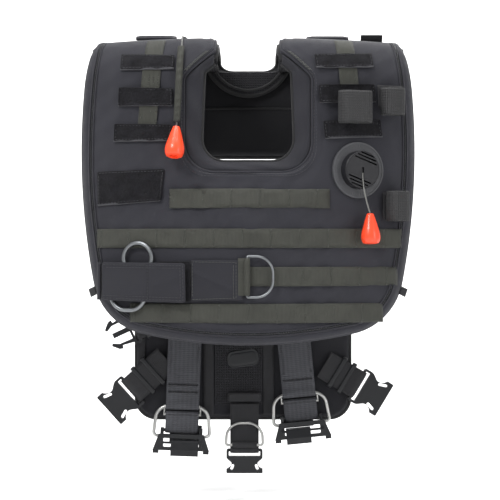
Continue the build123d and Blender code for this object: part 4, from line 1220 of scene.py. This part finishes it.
COLLAR_OUTER = 0.062
hem_line = arc((-COLLAR_OUTER, 0.000), (0, -0.0675), (COLLAR_OUTER, 0.000), 26)
collar_outline = (
    [(-COLLAR_OUTER, back_seam(COLLAR_OUTER))]
    + hem_line
    + [(COLLAR_OUTER, 0.004), (COLLAR_OUTER, back_seam(COLLAR_OUTER))]
    + [(x, back_seam(abs(x))) for x in (0.052,)]
    + [(x * 1.02, min(s, back_seam(COLLAR_HALF))) for x, s in back_neck_path()[::-1]]
    + [(x, back_seam(abs(x))) for x in (-0.052,)]
)
collar = panel(
    "collar_mesh", back_skin, collar_outline, (-0.0095, -0.0004), "back", look("lining", "mesh"), edge=0.0045,
    relief=lambda x, s, d: -0.0008 * np.abs(np.sin(120 * s)) * (s < 0), step=0.0032,
)
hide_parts("collar")
for label, section in (("", bead(0.0015, -0.0060, 0.0036)), ("_upper", bead(0.0085, -0.0092, 0.0020))):
    edging(
        f"collar_hem{label}", back_skin, densify(hem_line[1:], 0.003, closed=False), section, "back",
        look("black_webbing", "binding"),
    )
inner_seam = arc((-0.125, -0.088), (0, -0.084), (0.125, -0.088), 40)
edging("yoke_inner_seam", back_skin, inner_seam, bead(0, 0.0, 0.0014, 8), "back", look("lining", "binding"))


def sleeve_relief(x, s, distance):
    """A gathered tube of cloth round a cord."""
    return 0.0007 * np.sin(2 * PI * s / 0.011) * np.minimum(1, distance / 0.003) + 0.0004 * np.sin(700 * s)


SLEEVE_TOP = front_s(-0.020)
front_sleeve = panel(
    "cord_sleeve_cloth", front_skin,
    [(-0.0923, SLEEVE_TOP), (-0.0975, -0.117), (-0.0885, -0.117), (-0.0833, SLEEVE_TOP)], SLEEVE_LAYER, None,
    look("olive_webbing"), edge=0.0044, step=0.0016, relief=sleeve_relief,
)
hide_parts("cord_sleeve")
bend(front_sleeve)
mouth, mouth_across, _, mouth_out = front_frame(-0.093, -0.1165, 0.0276)
mouth_ring = [
    mouth + mouth_across * (0.0047 * math.cos(t)) + mouth_out * (0.0043 * math.sin(t))
    for t in np.linspace(0, 2 * PI, 25)
]
tubes("cord_sleeve_ring", [mouth_ring], 0.0010, "front", look("black_plastic"), 8)
back_sleeve = panel(
    "cord_sleeve_back_cloth", back_skin,
    [(-0.0825, back_seam(0.0825)), (-0.0915, back_seam(0.0915)), (-0.1125, -0.060), (-0.1035, -0.060)],
    SLEEVE_LAYER, None, look("cordura", "flap_cordura"), edge=0.0044, step=0.0016, relief=sleeve_relief,
    open_edge=on_back_seam,
)
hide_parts("cord_sleeve_back")
bend(back_sleeve)
CORD_X, CORD_DEPTH = -0.0872, 0.0262
cord_front, cord_back = [
    list(surface(np.full(len(along), CORD_X), along, np.full(len(along), CORD_DEPTH)))
    for surface, along in (
        (front_skin, np.linspace(SLEEVE_TOP, front_seam(0.087), 12)),
        (back_skin, np.linspace(back_seam(0.087), back_seam(0.087) - 0.01, 5)),
    )
]
bend(tubes("sleeve_cord", [cord_front + cord_back], 0.0010, None, look("cord"), 10))

X_AXIS, Y_AXIS, Z_AXIS = Vector((1, 0, 0)), Vector((0, 1, 0)), Vector((0, 0, 1))
FLAP_HINGE = (0.025, 0.0016)
for side, x_low, x_high, arch in (("left", -0.153, -0.098, 0.008), ("right", 0.080, 0.137, 0.007)):
    line = arc((-0.011, 0.0030), (0.008, arch), FLAP_HINGE, 18) + [FLAP_HINGE]
    middle = (x_low + x_high) / 2
    path = [(middle, y, z) for y, z in line]
    flap = ribbon(
        f"shoulder_flap_{side}_cloth", path, (1, 0, 0), x_high - x_low, 0.0046, f"shoulder_flap_{side}",
        look("cordura", "flap_cordura"),
    )
    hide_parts(f"shoulder_flap_{side}")
    _, y, z = path[2]
    row = [(x, y, z + 0.0026) for x in np.arange(x_low + 0.003, x_high - 0.002, 0.0013)]
    dashes = [row[i:i + 3] for i in range(0, len(row) - 3, 4)]
    tubes(
        f"shoulder_flap_{side}_stitching", dashes, 0.00026, f"shoulder_flap_{side}",
        look("cordura", "dark_thread"),
    )
tab_line = smooth_path(
    [(0.169, 0.026, 0.0006), (0.169, 0.008, 0.0006), (0.169, 0.002, 0.004), (0.169, -0.002, 0.010)]
)
ribbon("shoulder_tab", tab_line, (1, 0, 0), 0.030, 0.0018, "back", look("black_webbing"))


# ---- Back straps and lower pad ------------------------------------------------------------

PAD_BACK, PAD_FRONT = 0.045, 0.030
STRAP_X = 0.095
STRAP_TOP_Y = 0.1018
straps = []
for side, x in (("left", -STRAP_X), ("right", STRAP_X)):
    line = [
        (x, STRAP_TOP_Y, -0.128), (x, STRAP_TOP_Y, -0.148), (x, STRAP_TOP_Y, -0.156),
        (x, STRAP_TOP_Y - 0.003, -0.165), (x, 0.0493, -0.339), (x, PAD_BACK + 0.0013, -0.348),
        (x, PAD_BACK + 0.0013, -0.357), (x, PAD_BACK + 0.0013, -0.450),
    ]
    path = densify([tuple(p) for p in smooth_path(line, 2)], 0.004, closed=False)
    strap = ribbon(f"back_strap_{side}", path, (1, 0, 0), 0.046, 0.0020, "back", look("black_webbing"))
    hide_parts("harness_webbing")
    for z, y in ((-0.133, STRAP_TOP_Y + 0.0014), (-0.445, PAD_BACK + 0.0027)):
        face = flat_skin((x, y, z), X_AXIS, Z_AXIS, Y_AXIS)
        box_line = [
            (-0.019, -0.004), (0.019, -0.004), (0.019, 0.018), (-0.019, 0.018), (-0.019, -0.004),
            (0.019, 0.018),
        ]
        straps += stitches(face, box_line, 0)
tubes("back_strap_stitching", straps, 0.0003, "back", look("black_webbing", "dark_thread"))

PAD_LEFT, PAD_RIGHT, PAD_TOP, PAD_BOTTOM = -0.155, 0.141, -0.330, -0.517
PAD_MIDDLE = (PAD_FRONT + PAD_BACK) / 2
pad_face = flat_skin((0, PAD_MIDDLE, 0), X_AXIS, Z_AXIS, -Y_AXIS)


def pad_relief(x, s, distance):
    """Foam under cloth: a crowned rim, and a lying-flat middle where the facing is sewn."""
    return 0.0004 * np.sin(60 * x) * np.sin(70 * s) - 0.0006 * np.exp(-((distance - 0.010) / 0.002) ** 2)


pad_outline = rounded(rectangle(PAD_LEFT, PAD_RIGHT, PAD_BOTTOM, PAD_TOP), 0.028, count=10)
lower_pad = panel(
    "lower_pad_cushion", pad_face, pad_outline, (-0.0074, 0.0072), "back", look("pad_fabric"), edge=0.0085,
    relief=pad_relief, step=0.0045, tilt=-1.0,
)
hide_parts("lower_pad")
edging(
    "lower_pad_binding", pad_face, densify(pad_outline, 0.004), bead(0.0006, 0, 0.0034), "back",
    look("black_webbing", "binding"), closed=True,
)
FACE_DEPTH = PAD_MIDDLE - PAD_FRONT + 0.0003
mesh_panel = panel(
    "pad_mesh_panel", pad_face, rectangle(-0.0465, 0.0195, -0.498, -0.400), (FACE_DEPTH, FACE_DEPTH + 0.0014),
    "back", look("pad_fabric", "mesh"), edge=0.001, step=0.003,
    relief=lambda x, s, d: 0.0004 * np.abs(np.sin(PI * s / 0.0065)),
)
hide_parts("pad_facing")
badge_turn = math.radians(8)
badge = [
    (
        -0.007 + x * math.cos(badge_turn) - s * math.sin(badge_turn),
        -0.434 + x * math.sin(badge_turn) + s * math.cos(badge_turn),
    )
    for x, s in rounded(rectangle(-0.022, 0.022, -0.012, 0.012), 0.009, count=6)
]
panel(
    "pad_badge", pad_face, badge, (FACE_DEPTH + 0.0016, FACE_DEPTH + 0.0034), "back", look("black_plastic"),
    edge=0.0012, step=0.0016, relief=lambda x, s, d: -0.0006 * np.exp(-((d - 0.003) / 0.0007) ** 2),
)
for number, (x_low, x_high, low, high) in enumerate(
    ((-0.154, -0.142, -0.488, -0.362), (-0.062, -0.0475, -0.512, -0.400), (0.0205, 0.036, -0.512, -0.400)), 1,
):
    panel(
        f"pad_band_{number}", pad_face, rectangle(x_low, x_high, low, high),
        (FACE_DEPTH, FACE_DEPTH + 0.0017), "back", look("black_webbing"), edge=0.0008, step=0.003,
        relief=lambda x, s, d: 0.0003 * np.sin(2 * PI * s / 0.004),
    )


# ---- Webbing straps with their eyes, loops and slides -------------------------------------


def eye_path(top, bottom, radius, tail, offset):
    """Side view of webbing that goes down, round a bar and back up behind, as (back, up) pairs."""
    turn = np.linspace(math.radians(180), math.radians(360), 11)
    around = [(radius * math.cos(t), bottom + radius * math.sin(t)) for t in turn]
    lead = [
        (-offset, top), (-offset, bottom + 0.016), (-offset * 1.3, bottom + 0.009),
        (-radius, bottom + 0.002),
    ]
    back = [
        (radius, bottom + 0.002), (offset * 1.3, bottom + 0.009), (offset, bottom + 0.015), (offset, tail),
    ]
    return lead + around + back


def hung(pairs, pivot, down, back=Y_AXIS):
    """(back, up) pairs put in space, with up running against the strap's direction."""
    return [pivot + back * b - down * u for b, u in pairs]


def spaced(points, step=0.0022):
    return densify([tuple(p) for p in points], step, closed=False)


thigh_threads = {}
THIGH_WIDTH = 0.046
THIGH_STRAPS = (("left", -0.087, -2.0, 0.103), ("right", 0.062, 5.5, 0.086))
for side, x, tilt, length in THIGH_STRAPS:
    turn = math.radians(tilt)
    across = Vector((math.cos(turn), 0, math.sin(turn)))
    up = Vector((-math.sin(turn), 0, math.cos(turn)))
    pivot = Vector((x, 0.021, -0.397))
    body = f"thigh_{side}"
    path = spaced(hung(eye_path(0.0, -length, 0.0039, -length + 0.042, 0.0010), pivot, -up))
    strap = ribbon(
        f"thigh_strap_{side}_webbing", path, across, THIGH_WIDTH, 0.0019, body, look("grey_webbing"),
    )
    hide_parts(f"thigh_strap_{side}")
    front = flat_skin(pivot, across, up, -Y_AXIS)
    for at in (-0.024, -length + 0.030, -length + 0.020):
        thigh_threads.setdefault(body, []).append(
            bar_tack(front, 0.0, at - 0.0013, at + 0.0013, 0.0021, 0.038, 3)
        )
        for column in np.arange(-0.019, 0.0195, 0.0048):
            thigh_threads[body].append(bar_tack(front, column, at - 0.0016, at + 0.0016, 0.0021, 0.0026, 5))
    second = spaced([pivot - Y_AXIS * 0.0022 + up * v for v in (-0.0005, -0.030, -0.058)])
    ribbon(f"thigh_strap_{side}_overlay", second, across, 0.038, 0.0012, body, look("grey_webbing"))
    ring_top = pivot - up * length
    middle = ring_top - up * 0.022
    outline = densify(rounded(rectangle(-0.0036, 0.0036, 0.0145, -0.0145), 0.0034, count=8), 0.0015)
    loop_path = [middle + Y_AXIS * a + up * b for a, b in outline]
    loop = ribbon(
        f"buckle_loop_{side}_webbing", loop_path, across, 0.0455, 0.0016, f"buckle_{side}",
        look("grey_webbing"), closed=True,
    )
    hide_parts(f"buckle_loop_{side}")
    shift, reach = (0.0055, 0.052) if side == "left" else (-0.0060, 0.046)
    tail_top = ring_top + across * shift + Y_AXIS * 0.0046
    tail_line = ((0.026, 0.0), (0.036, 0.0006), (reach - 0.004, 0.0), (reach, -0.0006))
    tail = spaced([tail_top - up * v + Y_AXIS * b for v, b in tail_line])
    ribbon(f"buckle_tail_{side}", tail, across, 0.0445, 0.0022, f"buckle_{side}", look("black_webbing"))
for body, lines in thigh_threads.items():
    tubes(f"{body}_tacks", lines, 0.0003, body, look("grey_webbing", "dark_thread"), 4)

anchor_face = flat_skin((0, 0.0235, 0), X_AXIS, Z_AXIS, -Y_AXIS)
for label, x, z, width in (
    ("left", -0.087, -0.397, 0.054), ("right", 0.062, -0.397, 0.054), ("crotch", -0.005, -0.496, 0.046),
):
    outline = rounded(rectangle(x - width / 2, x + width / 2, z + 0.0026, z + 0.0146), 0.003, count=4)
    panel(
        f"strap_anchor_{label}", anchor_face, outline, (-0.0042, 0.0041), "back", look("black_webbing"),
        edge=0.002, step=0.002,
    )

PIVOT_Y = 0.0234
STRAP_WIDTH, STRAP_THICK = 0.0395, 0.0017
STRAP_TAIL = 0.030
EYE_RADIUS = 0.0037
EYE_OFFSET = 0.0009


def slide_bar(name, centre, along, width, body):
    """A tri-glide: a broad flat band moulded round the webbing."""
    across = along.cross(Y_AXIS).normalized()
    corners = rectangle(-width / 2, width / 2, -0.0026, 0.0026)
    loop = densify(rounded(corners, 0.0022, count=6), 0.002)
    path = [centre + across * a + Y_AXIS * b for a, b in loop]
    return ribbon(name, path, along, 0.0062, 0.0018, body, look("black_plastic"), closed=True)


SIDE_STRAPS = (
    ("side_left", -0.112, -0.434, -138, 0.062),
    ("side_right", 0.105, -0.442, -31, 0.051),
    ("waist_left", -0.124, -0.374, -155, 0.032),
)
for name, x, z, angle, length in SIDE_STRAPS:
    turn = math.radians(angle)
    along = Vector((math.cos(turn), 0, math.sin(turn)))
    across = along.cross(Y_AXIS).normalized()
    root = Vector((x, PIVOT_Y, z))
    path = spaced(
        hung(eye_path(-0.0004, -length - 0.0023, EYE_RADIUS, -length + STRAP_TAIL, EYE_OFFSET), root, along)
    )
    strap = ribbon(
        f"{name}_webbing", path, across, STRAP_WIDTH, STRAP_THICK, name, look("black_webbing"), crown=0.0002,
    )
    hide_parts(f"{name}_strap")
    for number, share in enumerate((0.42, 0.72), 1):
        slide_bar(f"{name}_slide_{number}", root + along * (share * length), along, 0.0455, name)

down = Vector((0, 0, -1))
crotch_root = Vector((-0.005, PIVOT_Y, -0.496))
CROTCH_END = -0.0643
crotch_side = eye_path(-0.0004, CROTCH_END, EYE_RADIUS, CROTCH_END + STRAP_TAIL, EYE_OFFSET)
path = spaced(hung(crotch_side, crotch_root, down))
crotch = ribbon("crotch_webbing", path, (1, 0, 0), STRAP_WIDTH, STRAP_THICK, "crotch", look("black_webbing"))
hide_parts("crotch_strap")
keeper_bar = Vector((-0.005, 0.0184, -0.553))
path = turned(keeper_bar, Y_AXIS, Z_AXIS, 0.0033, 40, 320, 20)
ribbon("crotch_ring_keeper", path, (1, 0, 0), 0.034, 0.0013, "crotch", look("black_webbing"))


# ---- Kept CAD pieces ----------------------------------------------------------------------

repaint(PLASTIC["black_plastic"], "strap_sliders", "crotch_buckle", "side_left_buckle", "side_right_buckle",
        "waist_left_buckle", "buckle_frame_left", "buckle_frame_right", "buckle_lever_left",
        "buckle_lever_right", "front_valve_poppet", "rear_valve_poppet")
repaint(PLASTIC["valve_flange"], "front_valve_body", "rear_valve_body")
repaint(PLASTIC["valve_plastic"], "front_valve_cap", "rear_valve_cap")
repaint(PLASTIC["orange_plastic"], "toggle_left", "toggle_right")
repaint(PLASTIC["steel"], "d_ring_left", "d_ring_right", "crotch_ring", "front_valve_spring")
repaint(PLASTIC["dark_steel"], "keeper_ring_upper", "keeper_ring_lower", "pull_ring")
repaint(CLOTH["cord"], "toggle_cord_left")


# ---- Studio -------------------------------------------------------------------------------

FLOOR_Z = CAD_BOX[0][2] - 0.03
# The backdrop stands further off than a camera that circles the vest, so no view is behind it.
BACKDROP_Y = 4.6
BACKDROP_CURVE = 0.8
floor_line = [(-6, FLOOR_Z), (BACKDROP_Y - BACKDROP_CURVE, FLOOR_Z)] + [
    (BACKDROP_Y - BACKDROP_CURVE * (1 - math.sin(t)), FLOOR_Z + BACKDROP_CURVE * (1 - math.cos(t)))
    for t in np.linspace(0.1, PI / 2, 12)
] + [(BACKDROP_Y, 4.0)]
verts = [(x, y, z) for y, z in floor_line for x in (-6, 6)]
faces = [(2 * i, 2 * i + 1, 2 * i + 3, 2 * i + 2) for i in range(len(floor_line) - 1)]
stage_data = bpy.data.meshes.new("studio_floor")
stage_data.from_pydata(verts, [], faces)
for polygon in stage_data.polygons:
    polygon.use_smooth = True
paper = Nodes("studio_paper", (0.92, 0.92, 0.92), 0.9)
paper_grain = paper.noise(paper.object_place(), 40, 3)
paper.bump(paper_grain, 0.0005)
stage_data.materials.append(paper.material)
studio = link("studio_floor", stage_data)

world = bpy.data.worlds.new("studio")
world.use_nodes = True
world.node_tree.nodes["Background"].inputs["Color"].default_value = (1, 1, 1, 1)
world.node_tree.nodes["Background"].inputs["Strength"].default_value = 0.62
bpy.context.scene.world = world


def area_light(name, place, aim, size, power):
    data = bpy.data.lights.new(name, "AREA")
    data.shape = "RECTANGLE"
    data.size, data.size_y = size
    data.energy = power
    light = link(name, data)
    light.location = place
    light.rotation_euler = (Vector(aim) - Vector(place)).to_track_quat("-Z", "Y").to_euler()


area_light("key", (-1.2, -1.7, 1.5), (0, 0, -0.25), (0.8, 0.8), 46)
area_light("fill", (1.7, -1.6, 0.1), (0, 0, -0.3), (0.6, 1.6), 14)
area_light("top", (0, -0.3, 1.6), (0, 0, -0.2), (1.6, 0.8), 30)
area_light("rear", (0.4, 1.6, 0.9), (0, 0, -0.3), (1.4, 1.0), 26)
area_light("backdrop", (0, 2.9, 2.0), (0, BACKDROP_Y, 0), (3.6, 1.0), 110)
bpy.context.scene.view_settings.view_transform = "Standard"
